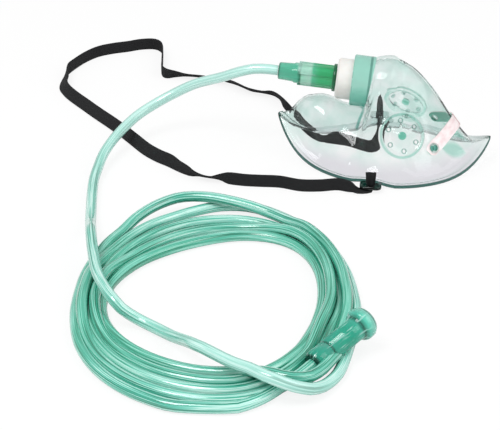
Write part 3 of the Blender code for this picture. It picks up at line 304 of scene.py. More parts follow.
def grown(name, mesh, tree, values):
    """The plain mesh that a Geometry Nodes tree makes from this one, with its named inputs set."""
    start = bpy.data.objects.new(name + "_line", mesh)
    bpy.context.scene.collection.objects.link(start)
    modifier = start.modifiers.new("made", "NODES")
    modifier.node_group = tree
    for item in tree.interface.items_tree:
        if item.item_type == "SOCKET" and item.in_out == "INPUT" and item.name in values:
            modifier[item.identifier] = values[item.name]
    evaluated = start.evaluated_get(bpy.context.evaluated_depsgraph_get())
    finished = bpy.data.meshes.new_from_object(evaluated)
    finished.name = name
    bpy.data.objects.remove(start)
    made = bpy.data.objects.new(name, finished)
    bpy.context.scene.collection.objects.link(made)
    return made


def new_material(name):
    """A material, its node tree and its main shader."""
    made = bpy.data.materials.new(name)
    made.use_nodes = True
    return made, made.node_tree, made.node_tree.nodes["Principled BSDF"]


def math_node(tree, operation, first, second=None):
    """The result of a math node, whose inputs are numbers or other nodes' outputs."""
    made = tree.nodes.new("ShaderNodeMath")
    made.operation = operation
    for socket, value in zip(made.inputs, (first, second)):
        if value is None:
            continue
        if isinstance(value, (int, float)):
            socket.default_value = value
        else:
            tree.links.new(value, socket)
    return made.outputs[0]


def product(tree, *factors):
    """The factors multiplied with each other."""
    result = factors[0]
    for factor in factors[1:]:
        result = math_node(tree, "MULTIPLY", result, factor)
    return result


def parts_of(tree, vector):
    """The X, Y and Z of a vector."""
    made = tree.nodes.new("ShaderNodeSeparateXYZ")
    tree.links.new(vector, made.inputs["Vector"])
    return made.outputs


def fade(tree, value, start, end):
    """1 where the value is below start, 0 above end."""
    made = tree.nodes.new("ShaderNodeMapRange")
    made.interpolation_type = "SMOOTHSTEP"
    made.inputs["From Min"].default_value = start
    made.inputs["From Max"].default_value = end
    made.inputs["To Min"].default_value = 1
    made.inputs["To Max"].default_value = 0
    tree.links.new(value, made.inputs["Value"])
    return made.outputs["Result"]


def tinted(tree, below, colour, share, way="MIX"):
    """The colour below mixed with another, or multiplied by it, by this share."""
    made = tree.nodes.new("ShaderNodeMix")
    made.data_type = "RGBA"
    made.blend_type = way
    made.inputs["B"].default_value = (*colour, 1)
    tree.links.new(below, made.inputs["A"])
    tree.links.new(share, made.inputs["Factor"])
    return made.outputs["Result"]


def moulded_group():
    """Faint clouding of a moulded plastic surface: a colour shade, a roughness and a bump height."""
    group = bpy.data.node_groups.new("moulded_surface", "ShaderNodeTree")
    group.interface.new_socket("Coordinates", in_out="INPUT", socket_type="NodeSocketVector")
    for name in ("Grain Size", "Least Roughness", "Most Roughness"):
        group.interface.new_socket(name, in_out="INPUT", socket_type="NodeSocketFloat")
    for name in ("Cloud", "Roughness", "Height"):
        group.interface.new_socket(name, in_out="OUTPUT", socket_type="NodeSocketFloat")
    inside = group.nodes.new("NodeGroupInput")
    outside = group.nodes.new("NodeGroupOutput")
    cloud = group.nodes.new("ShaderNodeTexNoise")
    cloud.inputs["Scale"].default_value = 70
    cloud.inputs["Detail"].default_value = 4
    grain = group.nodes.new("ShaderNodeTexNoise")
    grain.inputs["Detail"].default_value = 2
    group.links.new(inside.outputs["Coordinates"], cloud.inputs["Vector"])
    group.links.new(inside.outputs["Coordinates"], grain.inputs["Vector"])
    group.links.new(inside.outputs["Grain Size"], grain.inputs["Scale"])
    spread = group.nodes.new("ShaderNodeMapRange")
    spread.inputs["From Min"].default_value = 0.3
    spread.inputs["From Max"].default_value = 0.7
    group.links.new(cloud.outputs["Fac"], spread.inputs["Value"])
    group.links.new(inside.outputs["Least Roughness"], spread.inputs["To Min"])
    group.links.new(inside.outputs["Most Roughness"], spread.inputs["To Max"])
    group.links.new(cloud.outputs["Fac"], outside.inputs["Cloud"])
    group.links.new(spread.outputs["Result"], outside.inputs["Roughness"])
    group.links.new(grain.outputs["Fac"], outside.inputs["Height"])
    return group


moulded_surface = moulded_group()


def moulded_finish(tree, shader, coordinates, roughness, grain, depth):
    """Joins the moulded surface's roughness and fine bump to a shader, and returns its clouding. The
    roughness is (least, most), and the bump's depth is in millimetres."""
    surface = tree.nodes.new("ShaderNodeGroup")
    surface.node_tree = moulded_surface
    surface.inputs["Grain Size"].default_value = grain
    surface.inputs["Least Roughness"].default_value = roughness[0]
    surface.inputs["Most Roughness"].default_value = roughness[1]
    tree.links.new(coordinates, surface.inputs["Coordinates"])
    tree.links.new(surface.outputs["Roughness"], shader.inputs["Roughness"])
    bump = tree.nodes.new("ShaderNodeBump")
    bump.inputs["Strength"].default_value = 0.5
    bump.inputs["Distance"].default_value = depth * MM
    tree.links.new(surface.outputs["Height"], bump.inputs["Height"])
    tree.links.new(bump.outputs["Normal"], shader.inputs["Normal"])
    return surface.outputs["Cloud"]


def shades_of(tree, factor, stops):
    """A colour ramp through (position, colour) stops."""
    ramp = tree.nodes.new("ShaderNodeValToRGB")
    elements = ramp.color_ramp.elements
    while len(elements) < len(stops):
        elements.new(0.5)
    for element, (position, colour) in zip(elements, stops):
        element.position = position
        element.color = (*colour, 1)
    tree.links.new(factor, ramp.inputs["Fac"])
    return ramp.outputs["Color"]


tube_green, tree, shader = new_material("tube_green")
shader.inputs["IOR"].default_value = 1.5
shader.inputs["Specular IOR Level"].default_value = 0.8
shader.inputs["Coat Weight"].default_value = 0.5
shader.inputs["Coat Roughness"].default_value = 0.08
place = tree.nodes.new("ShaderNodeAttribute")
place.attribute_name = "round_and_along"
split = parts_of(tree, place.outputs["Vector"])
round_place = tree.nodes.new("ShaderNodeCombineXYZ")
tree.links.new(split["X"], round_place.inputs["X"])
tree.links.new(split["Y"], round_place.inputs["Y"])
tree.links.new(product(tree, split["Z"], 4), round_place.inputs["Z"])
# Painted light: streaks along the tube, dark lines of painted shade where the wall bends the light, and
# pale painted highlights
streaks = tree.nodes.new("ShaderNodeTexNoise")
streaks.inputs["Scale"].default_value = 4
streaks.inputs["Detail"].default_value = 2.5
streaks.inputs["Roughness"].default_value = 0.6
tree.links.new(round_place.outputs["Vector"], streaks.inputs["Vector"])
colour = shades_of(tree, streaks.outputs["Fac"], (
    (0.38, (0.01, 0.20, 0.13)), (0.43, (0.05, 0.42, 0.30)), (0.49, (0.13, 0.54, 0.42)),
    (0.54, (0.28, 0.66, 0.56)), (0.59, (0.70, 0.92, 0.86)), (0.64, (0.24, 0.64, 0.53)),
))
# The first stretch has only white behind it and looks paler than the wound part
paler = shades_of(tree, split["Z"], (
    (0.10, (0.65, 0.65, 0.65)), (0.20, (0.10, 0.10, 0.10)), (0.34, (0.10, 0.10, 0.10)),
    (0.44, (0.5, 0.5, 0.5)), (0.54, (0.12, 0.12, 0.12)), (0.64, (0.0, 0.0, 0.0)),
))
colour = tinted(tree, colour, (0.58, 0.84, 0.79), paler)
# Painted shade: where the turns lie on each other, at the two sides of the winding, the green is made
# deeper, as the stacked turns let less light through
spot = parts_of(tree, tree.nodes.new("ShaderNodeTexCoord").outputs["Object"])
below_top = fade(tree, spot["Y"], *SIDES_TOP)
above_bottom = math_node(tree, "SUBTRACT", 1, fade(tree, spot["Y"], *SIDES_BOTTOM))
past_lead = math_node(tree, "SUBTRACT", 1, fade(tree, split["Z"], *LEAD_END))
sides = product(tree, below_top, above_bottom, past_lead, 0.95)
colour = tinted(tree, colour, (0.36, 0.74, 0.64), sides, "MULTIPLY")
# Painted shade: the tube is darker green at its edges, where its clear wall is seen edge-on and bends the
# light
rounding = tree.nodes.new("ShaderNodeLayerWeight")
rounding.inputs["Blend"].default_value = 0.3
edge_on_shade = math_node(tree, "POWER", rounding.outputs["Facing"], 3)
colour = tinted(tree, colour, (0.02, 0.20, 0.14), product(tree, edge_on_shade, 0.8))
tree.links.new(colour, shader.inputs["Base Color"])
moulded_finish(tree, shader, round_place.outputs["Vector"], (0.1, 0.28), 14, 0.05)

line = bpy.data.meshes.new("supply_tube_line")
line.from_pydata(tube_path, [(step, step + 1) for step in range(len(tube_path) - 1)], [])
supply_tube = grown("supply_tube", line, tube_tree(),
                    {"Radius": TUBE_RADIUS, "Sides": TUBE_SIDES, "Finish": tube_green})

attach(supply_tube, "root")
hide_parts("oxygen_tube_lead", "oxygen_tube_coil", "oxygen_tube_tail")


# Head strap: a flat woven elastic band, threaded through the two tabs of the mask and knotted in none.
# It lies on its edge on the table, and is drawn together where it passes the near slot.
STRAP_WIDTH = 8 * MM
STRAP_THICKNESS = 1.0 * MM
STRAP_POINT_SPACING = 2.4 * MM
STRAP_STEPS = 7
# Share of the thickness that is left at the band's edges
STRAP_EDGE = 0.35
# Where the band is drawn in, it folds: the height of the folds in thicknesses, and their turn
FOLD_HEIGHT = 1.8
FOLD_TURN = 7
YARN_PITCH = 0.9 * MM
YARNS_ROUND = 26
# How the band's width lies, and how far the folded part is drawn in. Each stop of the route is its
# place in millimetres, the direction of the width and the share of the width.
ON_EDGE = (0, 0, 1)
LEANING = (0.55, 0.44, 0.7)
FACING_UP = (-0.15, -0.82, 0.55)
GATHERED = 0.6
STRAP_ROUTE = (
    (-4, -49.6, 12, (-1, 0, 0), 0.8), (-4, -49.5, 6, (-1, 0, 0), 0.7),
    (-4, -49.4, 3, (-1, 0, 0), GATHERED),
    (-4.1, -49.8, 1.6, (-1, 0.1, 0), GATHERED), (-4.6, -51, 1.1, (-0.95, 0.25, 0), GATHERED),
    (-7.4, -52.8, 1.4, (-0.55, 0.85, 0), GATHERED), (-11.5, -53.2, 1.5, (-0.1, 1, 0.1), GATHERED),
    (-16, -52.4, 3.2, (0, 0.5, 0.9), 0.8),
    (-23, -51.8, 4.3, ON_EDGE, 1), (-33.5, -54.6, 4.3, ON_EDGE, 1), (-45.2, -55.6, 4.3, ON_EDGE, 1),
    (-57.5, -52.4, 4.3, ON_EDGE, 1), (-69.3, -52.6, 4.3, ON_EDGE, 1), (-78.2, -52.6, 4.3, ON_EDGE, 1),
    (-87.4, -51.4, 4.3, ON_EDGE, 1), (-93.5, -50.2, 3.7, (0, -0.6, 0.8), 1),
    (-98, -48.6, 2.8, FACING_UP, 1), (-103, -47.6, 2.8, FACING_UP, 1),
    (-108, -46.4, 3.5, (-0.1, -0.7, 0.7), 1), (-113, -44, 4.1, (0, -0.3, 0.95), 1),
    (-119.1, -39.3, 4.3, ON_EDGE, 1), (-126.3, -31.9, 4.2, (0.3, 0.25, 0.9), 1),
    (-134.7, -25.2, 3.9, (0.45, 0.4, 0.8), 1), (-143.5, -16.2, 3.6, LEANING, 1),
    (-153.1, -3.8, 3.6, LEANING, 1), (-162.8, 8.6, 3.6, LEANING, 1), (-172.4, 20, 3.6, LEANING, 1),
    (-182.1, 30.9, 3.6, LEANING, 1), (-192.2, 42.8, 3.6, LEANING, 1), (-202.4, 54.9, 3.6, LEANING, 1),
    (-208.5, 63, 3.8, (0.5, 0.3, 0.8), 1), (-212.6, 71.5, 3.7, (0.65, 0.1, 0.75), 1),
    (-213.8, 80.6, 3.6, (0.7, 0, 0.7), 1), (-214.6, 89, 4.1, (0.35, 0, 0.9), 1),
    (-214.4, 97, 4.3, ON_EDGE, 1), (-211.5, 106.5, 4.3, ON_EDGE, 1), (-206.7, 118, 4.3, ON_EDGE, 1),
    (-200, 128, 4.3, ON_EDGE, 1), (-191, 134.5, 4.3, ON_EDGE, 1), (-181.5, 139, 4.3, ON_EDGE, 1),
    (-172.5, 144, 4.3, ON_EDGE, 1), (-163.5, 145.2, 4.3, ON_EDGE, 1), (-157.8, 139, 4.3, ON_EDGE, 1),
    (-155.4, 126, 4.3, ON_EDGE, 1), (-153.4, 112, 4.3, ON_EDGE, 1), (-151.6, 101, 4.3, ON_EDGE, 1),
    (-147.5, 96.8, 4.2, (0, -0.25, 0.95), 1), (-142, 97.8, 3.6, (0, -0.6, 0.8), 1),
    (-134, 98.6, 2.9, FACING_UP, 1), (-123.9, 97.6, 2.8, FACING_UP, 1), (-113.4, 94.4, 3, FACING_UP, 1),
    (-103.6, 90.2, 3.2, (-0.45, -0.6, 0.65), 1), (-97.7, 85.6, 3.3, (-0.5, -0.55, 0.65), 1),
    (-90.4, 79.8, 3.1, (-0.4, -0.65, 0.6), 1), (-82.2, 77.3, 2.9, FACING_UP, 1),
    (-75.6, 75, 3.3, (-0.35, -0.6, 0.7), 1), (-70.4, 68.5, 4, (-0.45, -0.25, 0.85), 1),
    (-66, 60, 3.6, ON_EDGE, 0.8), (-61.6, 51.5, 3.0, (0.6, 0.3, 0.75), GATHERED),
    (-58, 44.5, 2.0, (0.8, 0.45, 0.4), GATHERED), (-54, 37.5, 1, (0.86, 0.5, 0.03), 0.8),
    (-50, 31, 0.8, (0.87, 0.5, 0), 1), (-46, 24.5, 0.8, (0.85, 0.52, 0), 1),
    (-41.5, 18.5, 0.8, (0.8, 0.6, 0), 1), (-36.5, 14.8, 1.7, (0.6, 0.75, 0.25), 1),
    (-30, 12.3, 3.7, (0.3, 0.5, 0.75), 1), (-23, 9, 4.3, ON_EDGE, 1), (-14, 4.4, 4.3, ON_EDGE, 1),
    (-8, 1.6, 4.2, (-0.1, 0, 0.95), 1), (-4, 6, 3.7, (-0.6, 0.1, 0.75), 1),
    (-3.6, 17, 4.3, (-0.1, 0, 0.95), 1),
    (-3.9, 29, 4.3, ON_EDGE, 1), (-4, 39, 4, (-0.2, 0, 0.9), 0.9),
    (-4, 45.5, 2, (-0.8, 0, 0.5), GATHERED), (-4, 49.4, 1.4, (-1, 0, 0), GATHERED),
    (-4, 50, 3.6, (-1, 0, 0), GATHERED), (-4, 50.1, 9, (-0.6, -0.7, 0), 0.7),
    (-4.2, 50.3, 17.5, (-0.2, -0.95, 0.05), 1),
)


def swept(name, path, section):
    """A closed mesh swept along the path. section(index) gives the loop of offsets there; the UV map
    holds the distance along the path in metres and the share of the way round."""
    travelled = 0
    rows = []
    distances = []
    for index, middle in enumerate(path):
        if index:
            travelled += (Vector(middle) - Vector(path[index - 1])).length
        distances.append(travelled)
        rows.append([Vector(middle) + offset for offset in section(index)])
    sides = len(rows[0])
    faces = []
    places = []
    for row in range(len(rows) - 1):
        start, end = distances[row], distances[row + 1]
        low = row * sides
        for side in range(sides):
            after = (side + 1) % sides
            faces.append([low + side, low + after, low + sides + after, low + sides + side])
            left, right = side / sides, (side + 1) / sides
            places += [(start, left), (start, right), (end, right), (end, left)]
    faces.append(list(range(sides - 1, -1, -1)))
    faces.append([(len(rows) - 1) * sides + side for side in range(sides)])
    places += [(0, side / sides) for side in range(sides - 1, -1, -1)]
    places += [(travelled, side / sides) for side in range(sides)]
    mesh = bpy.data.meshes.new(name)
    mesh.from_pydata([point for row in rows for point in row], [], faces)
    layer = mesh.uv_layers.new(name="along")
    layer.data.foreach_set("uv", [value for place in places for value in place])
    work = bmesh.new()
    work.from_mesh(mesh)
    bmesh.ops.recalc_face_normals(work, faces=work.faces)
    work.to_mesh(mesh)
    work.free()
    mesh.shade_smooth()
    made = bpy.data.objects.new(name, mesh)
    bpy.context.scene.collection.objects.link(made)
    return made, travelled


strap_route = curve_through([(x, y, z, *width, drawn) for x, y, z, width, drawn in STRAP_ROUTE],
                            STRAP_POINT_SPACING / MM)
strap_path = [tuple(row[:3] * MM) for row in strap_route]


def strap_section(index):
    """A flat band with rounded edges, folded together a little where it is drawn in."""
    before = Vector(strap_path[max(index - 1, 0)])
    after = Vector(strap_path[min(index + 1, len(strap_path) - 1)])
    along = (after - before).normalized()
    across = Vector(strap_route[index][3:6])
    across = (across - along * across.dot(along)).normalized()
    thin = along.cross(across)
    drawn = strap_route[index][6]
    fold_height = (1 - drawn) * FOLD_HEIGHT * STRAP_THICKNESS
    loop = []
    for side in (1, -1):
        for step in range(STRAP_STEPS + 1):
            place = side * (step / STRAP_STEPS * 2 - 1)
            rounding = math.sqrt(max(0, 1 - abs(place) ** 8))
            fold = fold_height * math.sin(place * FOLD_TURN)
            height = side * 0.5 * STRAP_THICKNESS * (STRAP_EDGE + (1 - STRAP_EDGE) * rounding)
            loop.append(across * (place * 0.5 * STRAP_WIDTH * drawn) + thin * (fold - height))
    return loop


strap, strap_length = swept("head_strap", strap_path, strap_section)

strap_black, tree, shader = new_material("strap_black")
shader.inputs["Roughness"].default_value = 0.85
shader.inputs["Specular IOR Level"].default_value = 0.3
place = tree.nodes.new("ShaderNodeUVMap")
place.uv_map = "along"
split = parts_of(tree, place.outputs["UV"])
lengthwise = math_node(tree, "SINE", product(tree, split["X"], 2 * math.pi / YARN_PITCH))
crosswise = math_node(tree, "SINE", product(tree, split["Y"], 2 * math.pi * YARNS_ROUND))
weave = product(tree, lengthwise, crosswise)
colour = shades_of(tree, weave, ((0.0, (0.006, 0.006, 0.007)), (0.9, (0.024, 0.025, 0.026))))
raised = tree.nodes.new("ShaderNodeBump")
raised.inputs["Strength"].default_value = 0.6
raised.inputs["Distance"].default_value = 0.15 * MM
tree.links.new(weave, raised.inputs["Height"])
tree.links.new(colour, shader.inputs["Base Color"])
tree.links.new(raised.outputs["Normal"], shader.inputs["Normal"])
strap.data.materials.append(strap_black)

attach(strap, "root")
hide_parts("elastic_strap")


# Mask shell: one piece of soft clear PVC with a faint green tint, slush moulded over a steel form.
# Its wall, rim, tabs, vent discs, dimples and port are all of it. A dark line along the rim is painted
# shade where the clear edge turns the light back in, and the darker greens of its marks are painted shade
# where its moulded relief bends the light. Its marks lie on both cheeks alike, and sizes here are in
# millimetres.
WIDEST_X = 8
RIM_HALF_WIDTH = 46
RIM_CHIN_LENGTH = 72
RIM_NOSE_LENGTH = 57.6
RIM_CHIN_POWERS = (1.7, 0.8)
RIM_NOSE_POWERS = (1.9, 0.72)
# The distance from the edge is worked out this far in and this far up
EDGE_REACH = 9
EDGE_TOP = 26
EDGE_LINE = (0.35, 0.8)
SLOPE_STEP = 0.2
# The painted shade near the table, a faint lilac, fades out between these heights. The far wall is seen
# through the near one and takes this share of each painted shade, in full from the second of these places
# on Y.
LOW_SHADE = (4, 15)
FAR_WALL = (4 * MM, 24 * MM)
FAR_SHARE = 0.15

# Each mark's place and size, how it ends, and how far off its plane it reaches
DISC_CENTRE = Vector((12.7, 24.3, 24.7)) * MM
DISC_NORMAL = Vector((0.303, 0.827, 0.473))
DISC_REACH = (3.0, 4.2)
DISC_RADIUS = 13.5
DISC_RING_MIDDLE = DISC_RADIUS - 0.6
DISC_RING_END = (0.5, 0.95)
DISC_HOLES = 6
DISC_HOLE_CIRCLE = 9.2
DISC_HOLE_RADIUS = 1.15
DISC_PIP_RADIUS = 2.4
POST_CENTRE = Vector((31.1, 21.8, 16.3)) * MM
POST_NORMAL = Vector((0.529, 0.708, 0.469))
POST_REACH = (3.4, 4.4)
PIN_END = (1.6, 2.3)
LEAF_CENTRE = Vector((44, 14, 11.6)) * MM
LEAF_ALONG = Vector((16, -9, -7.6)).normalized()
LEAF_HALF_LENGTH = 9.8
LEAF_HALF_WIDTH = 3.6
LEAF_END = (0.6, 1.1)
LEAF_REACH = (6, 8)
CREASE_CENTRE = Vector((-13.5, 9, 27)) * MM
CREASE_ALONG = Vector((-3, 16, -5.1)).normalized()
CREASE_HALF_LENGTH = 9
CREASE_END = (0.4, 1.2)


def merged_copy(node, name, smooth_below=35):
    """The node's own shape as one joined mesh that can be shaded smoothly."""
    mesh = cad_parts[node].data.copy()
    mesh.name = name
    work = bmesh.new()
    work.from_mesh(mesh)
    bmesh.ops.remove_doubles(work, verts=work.verts, dist=0.002 * MM)
    work.to_mesh(mesh)
    work.free()
    mesh.materials.clear()
    mesh.shade_smooth()
    mesh.set_sharp_from_angle(angle=math.radians(smooth_below))
    made = bpy.data.objects.new(name, mesh)
    bpy.context.scene.collection.objects.link(made)
    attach(made, "root")
    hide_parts(node)
    return made


def rim_half_width(x):
    """Half width of the mask's outer edge at this place along it, in millimetres."""
    length = RIM_CHIN_LENGTH if x < WIDEST_X else RIM_NOSE_LENGTH
    inner, outer = RIM_CHIN_POWERS if x < WIDEST_X else RIM_NOSE_POWERS
    share = min(1, abs(x - WIDEST_X) / length)
    return RIM_HALF_WIDTH * (1 - share**inner) ** outer


shell = merged_copy("mask_shell", "mask_shell_clear", 40)
from_edge = shell.data.attributes.new("from_edge", "FLOAT", "POINT")
inward_values = []
for vertex in shell.data.vertices:
    x, y, z = vertex.co / MM
    outline_x = min(max(x, WIDEST_X - RIM_CHIN_LENGTH), WIDEST_X + RIM_NOSE_LENGTH)
    wider = rim_half_width(outline_x + SLOPE_STEP) - rim_half_width(outline_x - SLOPE_STEP)
    slope = wider / (2 * SLOPE_STEP)
    inward = (rim_half_width(outline_x) - abs(y)) / math.hypot(1, slope)
    inward_values.append(min(EDGE_REACH, max(0, inward)) if z < EDGE_TOP else EDGE_REACH)
from_edge.data.foreach_set("value", inward_values)


def vector_node(tree, operation, first, second):
    """The result of a vector operation on two other nodes' outputs."""
    made = tree.nodes.new("ShaderNodeVectorMath")
    made.operation = operation
    tree.links.new(first, made.inputs[0])
    tree.links.new(second, made.inputs[1])
    return made.outputs["Value" if operation == "DOT_PRODUCT" else "Vector"]


def flat_place_group():
    """A point's place in a plane: millimetres from its centre along two directions in it and off it,
    and the distance from the centre in the plane."""
    group = bpy.data.node_groups.new("place_in_plane", "ShaderNodeTree")
    for name in ("Coordinates", "Centre", "Sideways", "Upwards"):
        group.interface.new_socket(name, in_out="INPUT", socket_type="NodeSocketVector")
    for name in ("Across", "Up", "Radius", "Off"):
        group.interface.new_socket(name, in_out="OUTPUT", socket_type="NodeSocketFloat")
    inside = group.nodes.new("NodeGroupInput")
    outside = group.nodes.new("NodeGroupOutput")
    offset = vector_node(group, "SUBTRACT", inside.outputs["Coordinates"], inside.outputs["Centre"])
    across = vector_node(group, "DOT_PRODUCT", offset, inside.outputs["Sideways"])
    up = vector_node(group, "DOT_PRODUCT", offset, inside.outputs["Upwards"])
    normal = vector_node(group, "CROSS_PRODUCT", inside.outputs["Sideways"], inside.outputs["Upwards"])
    off = vector_node(group, "DOT_PRODUCT", offset, normal)
    across = product(group, across, 1 / MM)
    up = product(group, up, 1 / MM)
    square = math_node(group, "ADD", product(group, across, across), product(group, up, up))
    group.links.new(across, outside.inputs["Across"])
    group.links.new(up, outside.inputs["Up"])
    group.links.new(math_node(group, "SQRT", square), outside.inputs["Radius"])
    group.links.new(product(group, off, 1 / MM), outside.inputs["Off"])
    return group


place_in_plane = flat_place_group()


def plane_place(tree, coordinates, centre, sideways, upwards):
    """The outputs of a place in a plane: Across, Up, Radius and Off."""
    made = tree.nodes.new("ShaderNodeGroup")
    made.node_tree = place_in_plane
    made.inputs["Centre"].default_value = centre
    made.inputs["Sideways"].default_value = sideways
    made.inputs["Upwards"].default_value = upwards
    tree.links.new(coordinates, made.inputs["Coordinates"])
    return made.outputs


def facing_place(tree, coordinates, centre, normal):
    """A place in the plane with this normal, whose sideways direction is level."""
    sideways = normal.cross(Vector((0, 0, 1))).normalized()
    return plane_place(tree, coordinates, centre, sideways, sideways.cross(normal).normalized())


shell_clear, tree, shader = new_material("shell_clear")
shader.inputs["IOR"].default_value = 1.04
shader.inputs["Transmission Weight"].default_value = 1
shader.inputs["Coat Weight"].default_value = 0.6
shader.inputs["Coat Roughness"].default_value = 0.06
where = tree.nodes.new("ShaderNodeTexCoord").outputs["Object"]
split = parts_of(tree, where)
mirrored = tree.nodes.new("ShaderNodeCombineXYZ")
tree.links.new(split["X"], mirrored.inputs["X"])
tree.links.new(math_node(tree, "ABSOLUTE", split["Y"]), mirrored.inputs["Y"])
tree.links.new(split["Z"], mirrored.inputs["Z"])
cloud = moulded_finish(tree, shader, where, (0.02, 0.10), 500, 0.015)

colour = shades_of(tree, cloud, ((0.35, (0.74, 0.87, 0.84)), (0.65, (0.92, 0.94, 0.94))))
high = product(tree, split["Z"], 1 / MM)
rounding = tree.nodes.new("ShaderNodeLayerWeight")
rounding.inputs["Blend"].default_value = 0.35
edge_on_shade = math_node(tree, "POWER", rounding.outputs["Facing"], 2.2)
weaker = tree.nodes.new("ShaderNodeMapRange")
weaker.inputs["From Min"].default_value = FAR_WALL[0]
weaker.inputs["From Max"].default_value = FAR_WALL[1]
weaker.inputs["To Min"].default_value = 1
weaker.inputs["To Max"].default_value = FAR_SHARE
tree.links.new(split["Y"], weaker.inputs["Value"])
near_side = weaker.outputs["Result"]
# Painted shade: faint lilac low on the wall near the table, and darker green where the wall is seen edge-on
colour = tinted(tree, colour, (0.78, 0.77, 0.81), product(tree, fade(tree, high, *LOW_SHADE), near_side))
colour = tinted(tree, colour, (0.28, 0.50, 0.43), product(tree, edge_on_shade, 0.9, near_side))

disc = facing_place(tree, mirrored.outputs["Vector"], DISC_CENTRE, DISC_NORMAL)
near_disc = fade(tree, math_node(tree, "ABSOLUTE", disc["Off"]), *DISC_REACH)
from_ring = math_node(tree, "ABSOLUTE", math_node(tree, "SUBTRACT", disc["Radius"], DISC_RING_MIDDLE))
# Painted shade: a green ring at the vent disc's moulded edge
ring = product(tree, fade(tree, from_ring, *DISC_RING_END), near_disc, 0.75)
colour = tinted(tree, colour, (0.34, 0.66, 0.57), ring)
# The angle from the nearest hole, with two whole turns added so that it stays above zero
angle = math_node(tree, "ARCTAN2", disc["Up"], disc["Across"])
angle = math_node(tree, "ADD", angle, 4 * math.pi - math.pi / DISC_HOLES)
turned_by = math_node(tree, "PINGPONG", angle, math.pi / DISC_HOLES)
reach = product(tree, math_node(tree, "COSINE", turned_by), disc["Radius"])
square = math_node(tree, "ADD", product(tree, disc["Radius"], disc["Radius"]), DISC_HOLE_CIRCLE**2)
square = math_node(tree, "SUBTRACT", square, product(tree, reach, 2 * DISC_HOLE_CIRCLE))
to_hole = math_node(tree, "SQRT", math_node(tree, "MAXIMUM", square, 0))
# Painted shade: dark edges round the vent holes
hole_edge = fade(tree, to_hole, DISC_HOLE_RADIUS + 0.25, DISC_HOLE_RADIUS + 0.6)
colour = tinted(tree, colour, (0.06, 0.30, 0.24), product(tree, hole_edge, near_disc, 0.75))
# Painted shade: a deeper green on the disc's thick centre pip
pip = fade(tree, disc["Radius"], DISC_PIP_RADIUS - 0.3, DISC_PIP_RADIUS + 0.3)
colour = tinted(tree, colour, (0.09, 0.50, 0.36), product(tree, pip, near_disc, 0.9))

post = facing_place(tree, mirrored.outputs["Vector"], POST_CENTRE, POST_NORMAL)
near_post = fade(tree, math_node(tree, "ABSOLUTE", post["Off"]), *POST_REACH)
# Painted shade: the pin of the moulded post that holds the nose clip is dark green
pin = product(tree, fade(tree, post["Radius"], *PIN_END), near_post)
colour = tinted(tree, colour, (0.02, 0.22, 0.15), pin)

leaf = plane_place(tree, mirrored.outputs["Vector"], LEAF_CENTRE, LEAF_ALONG,
                   LEAF_ALONG.cross(Vector((0, 1, 0))).normalized())
long_share = math_node(tree, "DIVIDE", math_node(tree, "ABSOLUTE", leaf["Across"]), LEAF_HALF_LENGTH)
wide_share = math_node(tree, "DIVIDE", math_node(tree, "ABSOLUTE", leaf["Up"]), LEAF_HALF_WIDTH)
inside_leaf = math_node(tree, "ADD", math_node(tree, "POWER", long_share, 2), wide_share)
near_leaf = fade(tree, math_node(tree, "ABSOLUTE", leaf["Off"]), *LEAF_REACH)
# Painted shade: a green tint in the leaf-shaped dimple
leaf_share = product(tree, fade(tree, inside_leaf, *LEAF_END), near_leaf, 0.7)
colour = tinted(tree, colour, (0.30, 0.66, 0.55), leaf_share)

crease = plane_place(tree, mirrored.outputs["Vector"], CREASE_CENTRE, CREASE_ALONG,
                     CREASE_ALONG.cross(Vector((0, 0, 1))).normalized())
# Painted shade: a dark teal line along the crease below the port
crease_line = fade(tree, math_node(tree, "ABSOLUTE", crease["Up"]), *CREASE_END)
from_middle = math_node(tree, "ABSOLUTE", crease["Across"])
crease_run = fade(tree, from_middle, CREASE_HALF_LENGTH - 1, CREASE_HALF_LENGTH)
colour = tinted(tree, colour, (0.10, 0.40, 0.33), product(tree, crease_line, crease_run, 0.8))

# Painted shade: a dark line along the rim, where the clear edge turns the light back in
edge = tree.nodes.new("ShaderNodeAttribute")
edge.attribute_name = "from_edge"
painted_rim_shade = product(tree, fade(tree, edge.outputs["Fac"], *EDGE_LINE), near_side)
colour = tinted(tree, colour, (0.004, 0.03, 0.022), painted_rim_shade)
tree.links.new(colour, shader.inputs["Base Color"])
shell.data.materials.append(shell_clear)


# Nose clip: a strip of soft anodised aluminium, rolled and punched at both ends. It is bent over the
# nose ridge and held by the shell's two moulded posts.
RIDGE_LINE = (0.6 * MM, 1.3 * MM)
clip = merged_copy("nose_clip", "nose_clip_strip")
clip_metal, tree, shader = new_material("clip_metal")
shader.inputs["Metallic"].default_value = 0.25
shader.inputs["Coat Weight"].default_value = 0.3
where = tree.nodes.new("ShaderNodeTexCoord").outputs["Object"]
stretched = tree.nodes.new("ShaderNodeMapping")
stretched.inputs["Scale"].default_value = (6, 1, 6)
tree.links.new(where, stretched.inputs["Vector"])
cloud = moulded_finish(tree, shader, stretched.outputs["Vector"], (0.35, 0.5), 700, 0.03)
colour = shades_of(tree, cloud, ((0.35, (0.86, 0.70, 0.71)), (0.65, (0.96, 0.87, 0.87))))
split = parts_of(tree, where)
# Painted shade: darker along the bend over the nose ridge
from_ridge = math_node(tree, "ABSOLUTE", split["Y"])
ridge_bend_shade = fade(tree, from_ridge, *RIDGE_LINE)
colour = tinted(tree, colour, (0.36, 0.10, 0.09), product(tree, ridge_bend_shade, 0.6))
# Painted reflection: faces turned down to the shell take its green
facing = parts_of(tree, tree.nodes.new("ShaderNodeTexCoord").outputs["Normal"])
underside_reflection = fade(tree, facing["Z"], -0.3, -0.1)
colour = tinted(tree, colour, (0.16, 0.62, 0.48), underside_reflection)
tree.links.new(colour, shader.inputs["Base Color"])
clip.data.materials.append(clip_metal)


